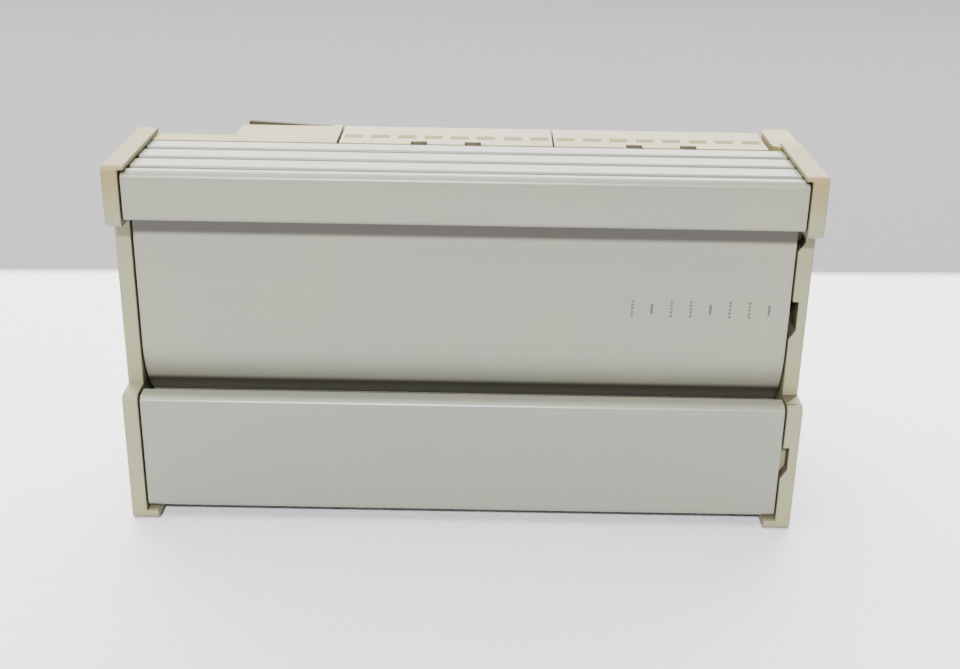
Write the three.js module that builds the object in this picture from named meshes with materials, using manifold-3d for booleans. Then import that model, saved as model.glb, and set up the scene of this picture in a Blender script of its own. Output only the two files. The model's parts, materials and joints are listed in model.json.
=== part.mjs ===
// A rail-mounted input/output module of a programmable controller.
//
// An extruded C-section housing carries a rail channel on its back. Two moulded end caps close it, and a
// moulded cover with pull-off terminal plugs closes its front.
//
// Working frame, in millimetres: x runs along the housing from its middle, y runs from the housing's back
// face towards the front, z runs up from the housing's lower long side. The whole is moved at the end so
// that the origin is in the middle of the footprint, on the surface that the module stands on.

import * as THREE from 'three';
import { mergeVertices } from 'three/addons/utils/BufferGeometryUtils.js';
import Module from 'manifold-3d';

const wasm = await Module();
wasm.setup();

// ---- Driving dimensions ------------------------------------------------------------------------------

// Housing extrusion
const HOUSING_LENGTH = 120;
const HOUSING_HEIGHT = 66.4;
const HOUSING_DEPTH = 21.5;
const WALL = 2;
const EDGE_RADIUS = 1.5;
const GROOVE_WIDTH = 1.5;
const GROOVE_DEPTH = 1;
const GROOVE_FIRST_Y = 3.5;
const GROOVE_PITCH = 6.5;
const GROOVE_COUNT = 3;

// Rail channel in the back of the housing
const RAIL_WIDTH = 35;
const RAIL_PLAY = 2.7;
const CHANNEL_DEPTH = 5.4;
const CHANNEL_CURVE_RADIUS = 16;
const CHANNEL_CURVE_HEIGHT = 11.7;
const LIP_THICKNESS = 4;
const LOWER_LIP_HEIGHT = 3;
const UPPER_LIP_HEIGHT = 0.6;
const ROOF_FILLET = 1;
const CHANNEL_FLOOR_Z = 20.3;

// End caps
const CAP_THICKNESS = 2.8;
const CAP_PROUD = 0.4;
const CAP_RISE = 1.1;
const CAP_FOOT = 2.5;
const CAP_RADIUS = 1.4;
const CAP_TOP_REACH = 28.5;
const CAP_FOOT_REACH = 37;
const CAP_CHANNEL_MARGIN = 1.2;
const RIM_OVERLAP = 0.8;
const RIM_THICKNESS = 0.8;
const FOOT_LIP = 1.9;
const EAR_OVERLAP = 2.3;
const EAR_START_Y = 22.5;
const EAR_RADIUS = 2.2;
const EAR_DROP = 0.6;
const SNAP_POCKET_DEPTH = 1.1;
const SPIGOT_LENGTH = 3;

// Front cover
const COVER_WALL = 1.8;
const COVER_DEPTH = 51.6;
const STRIP_FRONT_Y = 26.4;
const BLOCK_LENGTH = 19.8;
const BLOCK_FRONT_Y = 34.6;
const COVER_RISE = 0.1;
const SKIRT_START_Y = 15.9;
const LABEL_THICKNESS = 0.5;
const LABEL_HEIGHT = 14;

// Terminal plugs and their headers
const PLUG_PITCH = 5.08;
const SIGNAL_WAYS = 8;
const POWER_WAYS = 3;
const PLUG_HEIGHT = 16.5;
const PLUG_FRONT_Y = 34.9;
const PLUG_NOSE_LENGTH = 3.8;
const PLUG_NOSE_HEIGHT = 6;
const PLUG_NOSE_OFFSET = 10.5;
const PLUG_END_GAP = 0.75;
const FUNNEL_WIDTH = 3.7;
const FUNNEL_NEAR_Y = 25.9;
const FUNNEL_FAR_Y = 28.4;
const FUNNEL_DEPTH = 0.9;
const FUNNEL_SLOPE = 0.7;
const BORE_WIDTH = 2.1;
const BORE_DEPTH = 7;
const CODING_SLOT_LENGTH = 3;
const CODING_SLOT_WIDTH = 1.9;
const CODING_SLOT_DEPTH = 3;
const SCREW_HOLE_RADIUS = 1.9;
const SCREW_HOLE_DEPTH = 4;
const PIN_SIZE = 1;
const PIN_REACH = 24;
const SHROUD_WALL = 0.9;

// Boards
const BOARD_THICKNESS = 1.6;
const BOARD_FRONT_Y = 15.6;
const LOGIC_BOARD_Y = 40;
const PORT_BOARD_Y = 26.5;
const LEDGE_SIZE = 1.5;

// Door over the service port
const FLAP_THICKNESS = 1.1;
const FLAP_REST_ANGLE = 11.5;
const HINGE_PIN_RADIUS = 0.5;
const HINGE_BARREL_RADIUS = 0.8;
const LUG_LENGTH = 1.4;

// Sprung rail pads
const PAD_LENGTH = 8;
const PAD_THICKNESS = 0.8;
const PAD_STANDOUT = 2.3;
const PAD_OFFSET_X = 35;
const SPRING_RADIUS = 1.6;
const SPRING_WIRE = 0.35;
const SPRING_TURNS = 5;

// Clearances
const FIT = 0.3;
const GUIDE_FIT = 0.2;

// ---- Places that follow from them --------------------------------------------------------------------

const HALF_LENGTH = HOUSING_LENGTH / 2;
const CHANNEL_ROOF_Z = CHANNEL_FLOOR_Z + RAIL_WIDTH + RAIL_PLAY;
const LOWER_TIER_TOP = CHANNEL_FLOOR_Z + LOWER_LIP_HEIGHT;
const UPPER_TIER_BOTTOM = CHANNEL_ROOF_Z - UPPER_LIP_HEIGHT;
const CAP_INNER_X = HALF_LENGTH + FIT;
const CAP_OUTER_X = CAP_INNER_X + CAP_THICKNESS;
const COVER_HALF_LENGTH = HALF_LENGTH - FIT;
const COVER_TOP_Z = HOUSING_HEIGHT + COVER_RISE;
const BAY_DEPTH_Y = HOUSING_DEPTH + FIT;
const PLUG_BACK_Y = BAY_DEPTH_Y + GUIDE_FIT;
const PLUG_FLOOR_Z = COVER_TOP_Z - PLUG_HEIGHT;
const HUMP_TOP_Z = PLUG_FLOOR_Z - FIT;
const HUMP_BOTTOM_Z = HOUSING_HEIGHT - HUMP_TOP_Z;
const SIGNAL_PLUG_SPACING = PLUG_PITCH * SIGNAL_WAYS;
const PLUG_ROW_END = HALF_LENGTH - EAR_OVERLAP - PLUG_END_GAP;
const PLUG_ROW_START = PLUG_ROW_END - 2 * SIGNAL_PLUG_SPACING;
const BLOCK_RIGHT_X = PLUG_ROW_START - FIT;
const BLOCK_LEFT_X = BLOCK_RIGHT_X - BLOCK_LENGTH;
const POWER_DIVIDER = COVER_WALL + 2 * FIT;
const POWER_PLUG_START = PLUG_ROW_START - POWER_DIVIDER - PLUG_PITCH * POWER_WAYS;
const NOSE_Z = PLUG_FLOOR_Z + PLUG_NOSE_OFFSET - PLUG_NOSE_HEIGHT;
const NOSE_BACK_Y = PLUG_BACK_Y - PLUG_NOSE_LENGTH;
const SHROUD_MARGIN = SHROUD_WALL + FIT;
const SKIRT_BOTTOM_Z = WALL + FIT;
const SKIRT_TOP_Z = HOUSING_HEIGHT - WALL - FIT;
const FACE_BACK_Y = COVER_DEPTH - COVER_WALL;
const PART_START_Y = BOARD_FRONT_Y + FIT;
const LEDGE_FRONT_Y = BOARD_FRONT_Y - BOARD_THICKNESS - FIT;
const CAP_TOP_Z = HOUSING_HEIGHT + CAP_RISE;
const HUMP_MIDDLE_Z = HOUSING_HEIGHT / 2;
const LIGHT_Z = HUMP_TOP_Z - 4.2;
const LIGHT_COUNT = 2 * SIGNAL_WAYS;
const LIGHT_SIZE = 2.2;
const RELAY_SPACING = 2.75 * PLUG_PITCH;
const FIRST_RELAY = 4.33 * PLUG_PITCH;
const FIRST_LIGHT_X = PLUG_ROW_START + PLUG_PITCH / 2;
const LAST_LIGHT_X = FIRST_LIGHT_X + (LIGHT_COUNT - 1) * PLUG_PITCH;
const STATUS_X = HALF_LENGTH * -0.78;
const HINGE_X = BLOCK_RIGHT_X - HINGE_BARREL_RADIUS - GUIDE_FIT;
const HINGE_Y = BLOCK_FRONT_Y + GUIDE_FIT + HINGE_BARREL_RADIUS;
const BLOCK_FLOOR_Z = HUMP_TOP_Z;
const PORT_Z = (PLUG_FLOOR_Z + SKIRT_TOP_Z) / 2;
const SOCKET_RADIUS = 4.6;
const SOCKET_X = BLOCK_LEFT_X + COVER_WALL + SOCKET_RADIUS + 0.6;
const SWITCH_WIDTH = 4.2;
const SWITCH_HEIGHT = 9;
const SWITCH_X = SOCKET_X + SOCKET_RADIUS + SWITCH_WIDTH / 2 + 1.4;
const SWITCH_TRAVEL = 3;
const SLIDER_HEIGHT = 2.4;
const PAD_SHOULDER_TOP = CHANNEL_FLOOR_Z - WALL - FIT;
const PAD_SHOULDER_HEIGHT = 3.2;
const PAD_Y = (LIP_THICKNESS + CHANNEL_DEPTH) / 2;

// ---- Finishes ----------------------------------------------------------------------------------------

const FINISHES = {
  greyPvc: { color: '#b5b6b0', roughness: 0.45, metalness: 0 },
  creamAbs: { color: '#cfc9b2', roughness: 0.5, metalness: 0 },
  paleNylon: { color: '#d8d2c0', roughness: 0.5, metalness: 0 },
  darkPlastic: { color: '#2b2c2c', roughness: 0.5, metalness: 0 },
  greenBoard: { color: '#2f5d3c', roughness: 0.4, metalness: 0 },
  steel: { color: '#a9adb0', roughness: 0.3, metalness: 1 },
  relayCase: { color: '#30425c', roughness: 0.35, metalness: 0 },
  canSleeve: { color: '#20242e', roughness: 0.35, metalness: 0 },
  winding: { color: '#8a5a2c', roughness: 0.5, metalness: 0 },
  clearAcrylic: { color: '#dfe4e2', roughness: 0.15, metalness: 0 },
  smokedAbs: { color: '#6f6853', roughness: 0.4, metalness: 0 },
  labelFilm: { color: '#e3e3de', roughness: 0.4, metalness: 0 },
};

// ---- Solids ------------------------------------------------------------------------------------------

function toSolid(geometry) {
  const positions = geometry.clone();
  positions.deleteAttribute('normal');
  positions.deleteAttribute('uv');
  const merged = mergeVertices(positions, 1e-5);
  return new wasm.Manifold(new wasm.Mesh({
    numProp: 3,
    vertProperties: new Float32Array(merged.attributes.position.array),
    triVerts: new Uint32Array(merged.index.array),
  }));
}

function toGeometry(solid) {
  const mesh = solid.getMesh();
  const geometry = new THREE.BufferGeometry();
  geometry.setAttribute('position', new THREE.BufferAttribute(new Float32Array(mesh.vertProperties), 3));
  geometry.setIndex(new THREE.BufferAttribute(new Uint32Array(mesh.triVerts), 1));
  geometry.computeVertexNormals();
  return geometry;
}

function join(geometries) {
  return toGeometry(geometries.map(toSolid).reduce((whole, piece) => whole.add(piece)));
}

function cut(geometry, tools) {
  return toGeometry(tools.map(toSolid).reduce((left, tool) => left.subtract(tool), toSolid(geometry)));
}

// The part of a geometry that lies inside another.
function within(geometry, tool) {
  return toGeometry(toSolid(geometry).intersect(toSolid(tool)));
}

// A box from its limits along x, y and z. Each pair may be given in either order.
function block([x0, x1], [y0, y1], [z0, z1]) {
  const box = new THREE.BoxGeometry(Math.abs(x1 - x0), Math.abs(y1 - y0), Math.abs(z1 - z0));
  return box.translate((x0 + x1) / 2, (y0 + y1) / 2, (z0 + z1) / 2);
}

// A round bar along y.
function barAlongY(radius, x, [y0, y1], z, sides = 12) {
  const bar = new THREE.CylinderGeometry(radius, radius, y1 - y0, sides);
  return bar.translate(x, (y0 + y1) / 2, z);
}

// A round bar along z.
function barAlongZ(radius, x, y, [z0, z1], sides = 12) {
  const bar = new THREE.CylinderGeometry(radius, radius, z1 - z0, sides);
  return bar.rotateX(Math.PI / 2).translate(x, y, (z0 + z1) / 2);
}

// A (y, z) outline extruded along x.
function extrudeAlongX(shape, [x0, x1]) {
  const geometry = new THREE.ExtrudeGeometry(
    shape,
    { depth: x1 - x0, bevelEnabled: false, curveSegments: 4 },
  );
  const sectionToModel = new THREE.Matrix4().set(0, 0, 1, x0, 1, 0, 0, 0, 0, 1, 0, 0, 0, 0, 0, 1);
  return geometry.applyMatrix4(sectionToModel);
}

// An (x, z) outline extruded along y.
function extrudeAlongY(shape, [y0, y1]) {
  const geometry = new THREE.ExtrudeGeometry(
    shape,
    { depth: y1 - y0, bevelEnabled: false, curveSegments: 4 },
  );
  return geometry.rotateX(Math.PI / 2).translate(0, y1, 0);
}

// An (x, y) outline extruded along z.
function extrudeAlongZ(shape, [z0, z1]) {
  const geometry = new THREE.ExtrudeGeometry(
    shape,
    { depth: z1 - z0, bevelEnabled: false, curveSegments: 6 },
  );
  return geometry.translate(0, 0, z0);
}

// A closed outline through corners given as [a, b, radius], each rounded by its radius.
function roundedOutline(corners) {
  const shape = new THREE.Shape();
  corners.forEach(([a, b, radius = 0], index) => {
    const corner = new THREE.Vector2(a, b);
    const before = new THREE.Vector2(...corners.at(index - 1));
    const after = new THREE.Vector2(...corners[(index + 1) % corners.length]);
    const entry = before.sub(corner).setLength(radius).add(corner);
    const exit = after.sub(corner).setLength(radius).add(corner);
    const draw = index === 0 ? 'moveTo' : 'lineTo';
    shape[draw](entry.x, entry.y);
    if (radius > 0) shape.quadraticCurveTo(corner.x, corner.y, exit.x, exit.y);
  });
  return shape;
}

// Heights measured from the upper long side (side 1) or from the lower one (side -1).
function sided(side, z) {
  return side > 0 ? z : HOUSING_HEIGHT - z;
}

function sidedRange(side, [z0, z1]) {
  return [sided(side, z0), sided(side, z1)];
}

// ---- Housing -----------------------------------------------------------------------------------------

// The corners of one long side's wall with its grooves, from the back edge to the front.
function groovedEdge(z, inward) {
  const corners = [[0, z, EDGE_RADIUS]];
  for (let i = 0; i < GROOVE_COUNT; i += 1) {
    const middle = GROOVE_FIRST_Y + i * GROOVE_PITCH;
    const floor = z + inward * GROOVE_DEPTH;
    corners.push([middle - GROOVE_WIDTH / 2, z], [middle - GROOVE_WIDTH / 2, floor]);
    corners.push([middle + GROOVE_WIDTH / 2, floor], [middle + GROOVE_WIDTH / 2, z]);
  }
  corners.push([HOUSING_DEPTH, z]);
  return corners;
}

// The inside of one long side's wall, with the ledge that the main board rests on, from front to back.
function ledgedWall(z, inward) {
  const wall = z + inward * WALL;
  const ledge = wall + inward * LEDGE_SIZE;
  return [
    [HOUSING_DEPTH, wall],
    [LEDGE_FRONT_Y, wall],
    [LEDGE_FRONT_Y, ledge],
    [LEDGE_FRONT_Y - LEDGE_SIZE, ledge],
    [LEDGE_FRONT_Y - LEDGE_SIZE, wall],
    [WALL, wall],
  ];
}

// The arc by which the channel's wall falls back below its flat stretch, as corners from the top down to
// height endZ. The outer face has inset 0, and the inner face is inset by the wall.
function channelCurve(inset, endZ) {
  const radius = CHANNEL_CURVE_RADIUS - inset;
  const centreY = CHANNEL_DEPTH + CHANNEL_CURVE_RADIUS;
  const centreZ = CHANNEL_FLOOR_Z + CHANNEL_CURVE_HEIGHT;
  const endAngle = Math.asin((centreZ - endZ) / radius);
  const steps = 8;
  return Array.from({ length: steps + 1 }, (_, i) => {
    const angle = endAngle * i / steps;
    return [centreY - radius * Math.cos(angle), centreZ - radius * Math.sin(angle)];
  });
}

// The C section: two hollow tiers with hooked lips, and between them the channel's wall.
function troughSection() {
  const lipRadius = EDGE_RADIUS * 0.6;
  const innerCurve = channelCurve(WALL, CHANNEL_FLOOR_Z + WALL / 2);
  const back = [
    [0, UPPER_TIER_BOTTOM, lipRadius],
    [LIP_THICKNESS, UPPER_TIER_BOTTOM],
    [LIP_THICKNESS, CHANNEL_ROOF_Z],
    [CHANNEL_DEPTH, CHANNEL_ROOF_Z, ROOF_FILLET],
    ...channelCurve(0, CHANNEL_FLOOR_Z),
    [LIP_THICKNESS, CHANNEL_FLOOR_Z],
    [LIP_THICKNESS, LOWER_TIER_TOP],
    [0, LOWER_TIER_TOP, EDGE_RADIUS],
  ];
  const inside = [
    [WALL, CHANNEL_ROOF_Z + WALL],
    [CHANNEL_DEPTH + WALL, CHANNEL_ROOF_Z + WALL],
    ...innerCurve,
    [innerCurve.at(-1)[0], CHANNEL_FLOOR_Z - WALL],
    [WALL, CHANNEL_FLOOR_Z - WALL],
  ];
  return roundedOutline([
    ...groovedEdge(0, 1),
    ...ledgedWall(0, 1),
    ...inside.reverse(),
    ...ledgedWall(HOUSING_HEIGHT, -1).reverse(),
    ...groovedEdge(HOUSING_HEIGHT, -1).reverse(),
    ...back,
  ]);
}

function profileTrough() {
  const section = extrudeAlongX(troughSection(), [-HALF_LENGTH, HALF_LENGTH]);
  const slotY = [PAD_Y - PAD_THICKNESS / 2 - GUIDE_FIT, PAD_Y + PAD_THICKNESS / 2 + GUIDE_FIT];
  const slotZ = [CHANNEL_FLOOR_Z - WALL - FIT, CHANNEL_FLOOR_Z + FIT];
  const slots = [-1, 1].map((end) => {
    const reach = PAD_LENGTH / 2 + GUIDE_FIT;
    return block([end * PAD_OFFSET_X - reach, end * PAD_OFFSET_X + reach], slotY, slotZ);
  });
  return cut(section, slots);
}

// ---- End caps ----------------------------------------------------------------------------------------

// The cap's outline follows the tiers and the channel at the back, and the cover's step at the front.
function capOutline(topReach) {
  const channelY = CHANNEL_DEPTH - CAP_PROUD;
  const frontY = COVER_DEPTH - CAP_PROUD;
  return roundedOutline([
    [-CAP_PROUD, -CAP_FOOT, CAP_RADIUS],
    [CAP_FOOT_REACH, -CAP_FOOT, CAP_RADIUS],
    [CAP_FOOT_REACH, HUMP_BOTTOM_Z],
    [frontY, HUMP_BOTTOM_Z, CAP_RADIUS],
    [frontY, HUMP_TOP_Z, CAP_RADIUS],
    [topReach, HUMP_TOP_Z],
    [topReach, CAP_TOP_Z, CAP_RADIUS],
    [-CAP_PROUD, CAP_TOP_Z, CAP_RADIUS],
    [-CAP_PROUD, UPPER_TIER_BOTTOM - CAP_CHANNEL_MARGIN, CAP_RADIUS],
    [channelY, UPPER_TIER_BOTTOM - CAP_CHANNEL_MARGIN],
    [channelY, LOWER_TIER_TOP + CAP_PROUD],
    [-CAP_PROUD, LOWER_TIER_TOP + CAP_PROUD, CAP_RADIUS],
  ]);
}

// The flange over the housing's top and the turned-in foot, which keep the outline's rounded corners, and
// the spigots inside the two tiers.
function capInnerFeatures(topReach, rimEnd) {
  const inner = [CAP_INNER_X - RIM_OVERLAP - FIT, CAP_OUTER_X - RIM_OVERLAP];
  const foot = [CAP_INNER_X - FOOT_LIP - FIT, CAP_OUTER_X - FOOT_LIP];
  const spigotX = [CAP_INNER_X - SPIGOT_LENGTH, CAP_INNER_X + CAP_THICKNESS / 2];
  const spigotY = [WALL + FIT, LEDGE_FRONT_Y - LEDGE_SIZE - FIT];
  const outline = capOutline(topReach);
  return [
    within(
      extrudeAlongX(outline, inner),
      block(inner, [-CAP_PROUD, rimEnd], [CAP_TOP_Z - RIM_THICKNESS, CAP_TOP_Z]),
    ),
    within(
      extrudeAlongX(outline, foot),
      block(foot, [-CAP_PROUD, HOUSING_DEPTH], [-CAP_FOOT, -CAP_FOOT + FOOT_LIP]),
    ),
    block(spigotX, spigotY, [CHANNEL_ROOF_Z + WALL + FIT, HOUSING_HEIGHT - WALL - FIT]),
    block(spigotX, spigotY, [WALL + FIT, CHANNEL_FLOOR_Z - WALL - FIT]),
  ];
}

// A pocket at the cap's inner edge for a snap hook, with a ramp at its lower end.
function snapPocket([z0, z1], [y0, y1]) {
  const x = CAP_INNER_X;
  const depth = SNAP_POCKET_DEPTH;
  const outline = roundedOutline([
    [x - FIT, z0 - FIT],
    [x, z0],
    [x + depth, z0 + depth * 1.6],
    [x + depth, z1],
    [x - FIT, z1],
  ]);
  return extrudeAlongY(outline, [y0, y1]);
}

function rightEndCap() {
  const plate = extrudeAlongX(capOutline(CAP_FOOT_REACH), [CAP_INNER_X, CAP_OUTER_X]);
  const earStart = HALF_LENGTH - EAR_OVERLAP;
  const earFront = CAP_FOOT_REACH - CAP_RADIUS / 2;
  const earOutline = roundedOutline([
    [earStart, EAR_START_Y, EAR_RADIUS],
    [CAP_INNER_X + CAP_THICKNESS / 2, EAR_START_Y],
    [CAP_INNER_X + CAP_THICKNESS / 2, earFront],
    [earStart, earFront, EAR_RADIUS],
  ]);
  const earTop = CAP_TOP_Z - EAR_DROP;
  const rimEnd = EAR_START_Y + CAP_RADIUS;
  const ear = extrudeAlongZ(earOutline, [HUMP_TOP_Z + FIT, earTop]);
  const body = join([plate, ear, ...capInnerFeatures(CAP_FOOT_REACH, rimEnd)]);
  const channelY = CHANNEL_DEPTH - CAP_PROUD;
  const railMiddle = (LOWER_TIER_TOP + UPPER_TIER_BOTTOM) / 2;
  const tierMiddle = CHANNEL_FLOOR_Z / 2;
  return cut(body, [
    block([earStart - 1, CAP_OUTER_X + 1], [rimEnd, CAP_FOOT_REACH + 1], [earTop, CAP_TOP_Z + 1]),
    snapPocket([railMiddle - 5.3, railMiddle + 2.1], [channelY - 1, channelY + 6]),
    snapPocket(
      [UPPER_TIER_BOTTOM - 5.2, UPPER_TIER_BOTTOM - CAP_CHANNEL_MARGIN],
      [channelY - 1, channelY + 3],
    ),
    snapPocket([tierMiddle - 1.4, tierMiddle + 5], [-CAP_PROUD - 1, WALL]),
  ]);
}

function leftEndCap() {
  const plate = extrudeAlongX(capOutline(CAP_TOP_REACH), [CAP_INNER_X, CAP_OUTER_X]);
  const body = join([plate, ...capInnerFeatures(CAP_TOP_REACH, CAP_TOP_REACH - CAP_RADIUS)]);
  // The mirror image faces the other way, so each triangle's corners are taken in the other order.
  const mirror = new THREE.Matrix4().makeScale(-1, 1, 1);
  const turned = body.clone().applyMatrix4(mirror);
  const index = turned.index.array;
  for (let i = 0; i < index.length; i += 3) {
    [index[i], index[i + 1]] = [index[i + 1], index[i]];
  }
  turned.computeVertexNormals();
  return turned;
}

// ---- Front cover -------------------------------------------------------------------------------------

function lightWindows(side) {
  const windows = [];
  const half = LIGHT_SIZE / 2 + FIT;
  for (let i = 0; i < LIGHT_COUNT; i += 1) {
    const x = FIRST_LIGHT_X + i * PLUG_PITCH;
    const z = sided(side, LIGHT_Z);
    windows.push(block([x - half, x + half], [FACE_BACK_Y - 1, COVER_DEPTH + 1], [z - half, z + half]));
  }
  return windows;
}

function statusWindows() {
  const half = LIGHT_SIZE / 2 + FIT;
  return [-1, 0, 1].map((step) => {
    const z = HUMP_MIDDLE_Z + step * PLUG_PITCH;
    const x = [STATUS_X - half, STATUS_X + half];
    return block(x, [FACE_BACK_Y - 1, COVER_DEPTH + 1], [z - half, z + half]);
  });
}

// The window in the cover that a header of so many ways looks through.
function headerWindow(startX, ways, side) {
  const x = [startX + FIT, startX + ways * PLUG_PITCH - FIT];
  const z = [NOSE_Z - SHROUD_MARGIN - FIT, NOSE_Z + PLUG_NOSE_HEIGHT + SHROUD_MARGIN + FIT];
  return block(x, [SKIRT_START_Y - 1, BAY_DEPTH_Y + 1], sidedRange(side, z));
}

function labelPocket() {
  const x = [FIRST_LIGHT_X - FIT, LAST_LIGHT_X + FIT];
  const z = [HUMP_MIDDLE_Z - LABEL_HEIGHT / 2 - FIT, HUMP_MIDDLE_Z + LABEL_HEIGHT / 2 + FIT];
  return block(x, [COVER_DEPTH - LABEL_THICKNESS - FIT, COVER_DEPTH + 1], z);
}

// One lug of the door's hinge, with a blind hole for the door's stub.
function hingeLug([z0, z1], [holeZ0, holeZ1]) {
  const x = [HINGE_X - HINGE_BARREL_RADIUS, BLOCK_RIGHT_X];
  const lug = block(x, [BLOCK_FRONT_Y - FIT, HINGE_Y + HINGE_BARREL_RADIUS], [z0, z1]);
  return cut(lug, [barAlongZ(HINGE_PIN_RADIUS + GUIDE_FIT, HINGE_X, HINGE_Y, [holeZ0, holeZ1])]);
}

function frontCover() {
  const length = [-COVER_HALF_LENGTH, COVER_HALF_LENGTH];
  const hollow = [-COVER_HALF_LENGTH + COVER_WALL, COVER_HALF_LENGTH - COVER_WALL];
  const inside = [SKIRT_START_Y - 1, BAY_DEPTH_Y - COVER_WALL];
  const roof = SKIRT_TOP_Z - COVER_WALL;
  const powerEnd = POWER_PLUG_START - FIT;
  const dividerX = [PLUG_ROW_START - POWER_DIVIDER + FIT, BLOCK_RIGHT_X];
  const outer = [
    block(length, [SKIRT_START_Y, BAY_DEPTH_Y], [SKIRT_BOTTOM_Z, SKIRT_TOP_Z]),
    block(length, [BAY_DEPTH_Y - 1, COVER_DEPTH], [HUMP_BOTTOM_Z, HUMP_TOP_Z]),
    block(
      [-COVER_HALF_LENGTH, BLOCK_LEFT_X + 1],
      [BAY_DEPTH_Y, STRIP_FRONT_Y],
      [HUMP_TOP_Z - 1, COVER_TOP_Z],
    ),
    block([BLOCK_LEFT_X, BLOCK_RIGHT_X], [BAY_DEPTH_Y, BLOCK_FRONT_Y], [HUMP_TOP_Z - 1, COVER_TOP_Z]),
    block([-COVER_HALF_LENGTH, powerEnd], [BAY_DEPTH_Y, STRIP_FRONT_Y],
      sidedRange(-1, [HUMP_TOP_Z - 1, COVER_TOP_Z])),
    block(dividerX, [BAY_DEPTH_Y, BLOCK_FRONT_Y], sidedRange(-1, [HUMP_TOP_Z - 1, COVER_TOP_Z])),
  ];
  const overlap = [BAY_DEPTH_Y - COVER_WALL - 1, FACE_BACK_Y];
  const cavities = [
    block(hollow, inside, [SKIRT_BOTTOM_Z + COVER_WALL, roof]),
    block(hollow, overlap, [HUMP_BOTTOM_Z + COVER_WALL, HUMP_TOP_Z - COVER_WALL]),
    block([hollow[0], BLOCK_LEFT_X - COVER_WALL], [overlap[0], STRIP_FRONT_Y - COVER_WALL],
      [HUMP_MIDDLE_Z, roof]),
    block([BLOCK_LEFT_X + COVER_WALL, BLOCK_RIGHT_X - COVER_WALL], [overlap[0], PORT_BOARD_Y + 3],
      [HUMP_MIDDLE_Z, roof]),
    block([hollow[0], powerEnd - COVER_WALL], [overlap[0], STRIP_FRONT_Y - COVER_WALL],
      sidedRange(-1, [HUMP_MIDDLE_Z, roof])),
  ];
  const portWindows = [
    barAlongY(SOCKET_RADIUS + FIT, SOCKET_X, [PORT_BOARD_Y, BLOCK_FRONT_Y + 1], PORT_Z, 20),
    block([SWITCH_X - SWITCH_WIDTH / 2 - FIT, SWITCH_X + SWITCH_WIDTH / 2 + FIT],
      [PORT_BOARD_Y, BLOCK_FRONT_Y + 1],
      [PORT_Z - SWITCH_HEIGHT / 2 - FIT, PORT_Z + SWITCH_HEIGHT / 2 + FIT]),
  ];
  const shell = cut(join(outer), [
    ...cavities,
    ...portWindows,
    ...signalPlugStarts().flatMap((x) => [1, -1].map((side) => headerWindow(x, SIGNAL_WAYS, side))),
    headerWindow(POWER_PLUG_START, POWER_WAYS, -1),
    ...lightWindows(1),
    ...lightWindows(-1),
    ...statusWindows(),
    labelPocket(),
  ]);
  const lugTop = COVER_TOP_Z - GUIDE_FIT;
  const lugs = [
    hingeLug([lugTop - LUG_LENGTH, lugTop], [lugTop - LUG_LENGTH - 1, lugTop - FIT]),
    hingeLug(
      [BLOCK_FLOOR_Z, BLOCK_FLOOR_Z + LUG_LENGTH],
      [BLOCK_FLOOR_Z + FIT, BLOCK_FLOOR_Z + LUG_LENGTH + 1],
    ),
  ];
  return join([shell, ...lugs]);
}

function labelPlate() {
  const z = [HUMP_MIDDLE_Z - LABEL_HEIGHT / 2, HUMP_MIDDLE_Z + LABEL_HEIGHT / 2];
  return block([FIRST_LIGHT_X, LAST_LIGHT_X], [COVER_DEPTH - LABEL_THICKNESS, COVER_DEPTH], z);
}

// The door closed, about its hinge line: a plate, a barrel at its right-hand edge, and a stub at each end.
function flapDoor() {
  const lugTop = COVER_TOP_Z - GUIDE_FIT;
  const barrelZ = [BLOCK_FLOOR_Z + LUG_LENGTH + GUIDE_FIT, lugTop - LUG_LENGTH - GUIDE_FIT];
  const stubZ = [barrelZ[0] - LUG_LENGTH / 2, barrelZ[1] + LUG_LENGTH / 2];
  const half = FLAP_THICKNESS / 2;
  // The plate ends where it clears the square corner of the lugs as it swings.
  const plateEnd = -HINGE_BARREL_RADIUS * Math.SQRT2 - GUIDE_FIT;
  const plateStart = BLOCK_LEFT_X - HINGE_X + FIT;
  return join([
    block([plateStart, plateEnd], [-half, half], [BLOCK_FLOOR_Z, lugTop]),
    block([plateEnd - 1, 0], [-half, half], barrelZ),
    barAlongZ(HINGE_BARREL_RADIUS, 0, 0, barrelZ),
    barAlongZ(HINGE_PIN_RADIUS, 0, 0, stubZ),
  ]);
}

function lightGuide(side) {
  const z = sided(side, LIGHT_Z);
  const half = LIGHT_SIZE / 2;
  const bar = block([FIRST_LIGHT_X - half, LAST_LIGHT_X + half], [FACE_BACK_Y - 4, FACE_BACK_Y - 1.5],
    [z - half, z + half]);
  const fingers = [];
  for (let i = 0; i < LIGHT_COUNT; i += 1) {
    const x = FIRST_LIGHT_X + i * PLUG_PITCH;
    fingers.push(block([x - half, x + half], [FACE_BACK_Y - 3, COVER_DEPTH - 0.1], [z - half, z + half]));
  }
  return join([bar, ...fingers]);
}

function statusGuide() {
  const half = LIGHT_SIZE / 2;
  const x = [STATUS_X - half, STATUS_X + half];
  const reach = PLUG_PITCH + half;
  const bar = block(x, [FACE_BACK_Y - 4, FACE_BACK_Y - 1.5], [HUMP_MIDDLE_Z - reach, HUMP_MIDDLE_Z + reach]);
  const fingers = [-1, 0, 1].map((step) => {
    const z = HUMP_MIDDLE_Z + step * PLUG_PITCH;
    return block(x, [FACE_BACK_Y - 3, COVER_DEPTH - 0.1], [z - half, z + half]);
  });
  return join([bar, ...fingers]);
}

// ---- Terminals ---------------------------------------------------------------------------------------

function signalPlugStarts() {
  return [PLUG_ROW_START, PLUG_ROW_START + SIGNAL_PLUG_SPACING];
}

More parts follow.
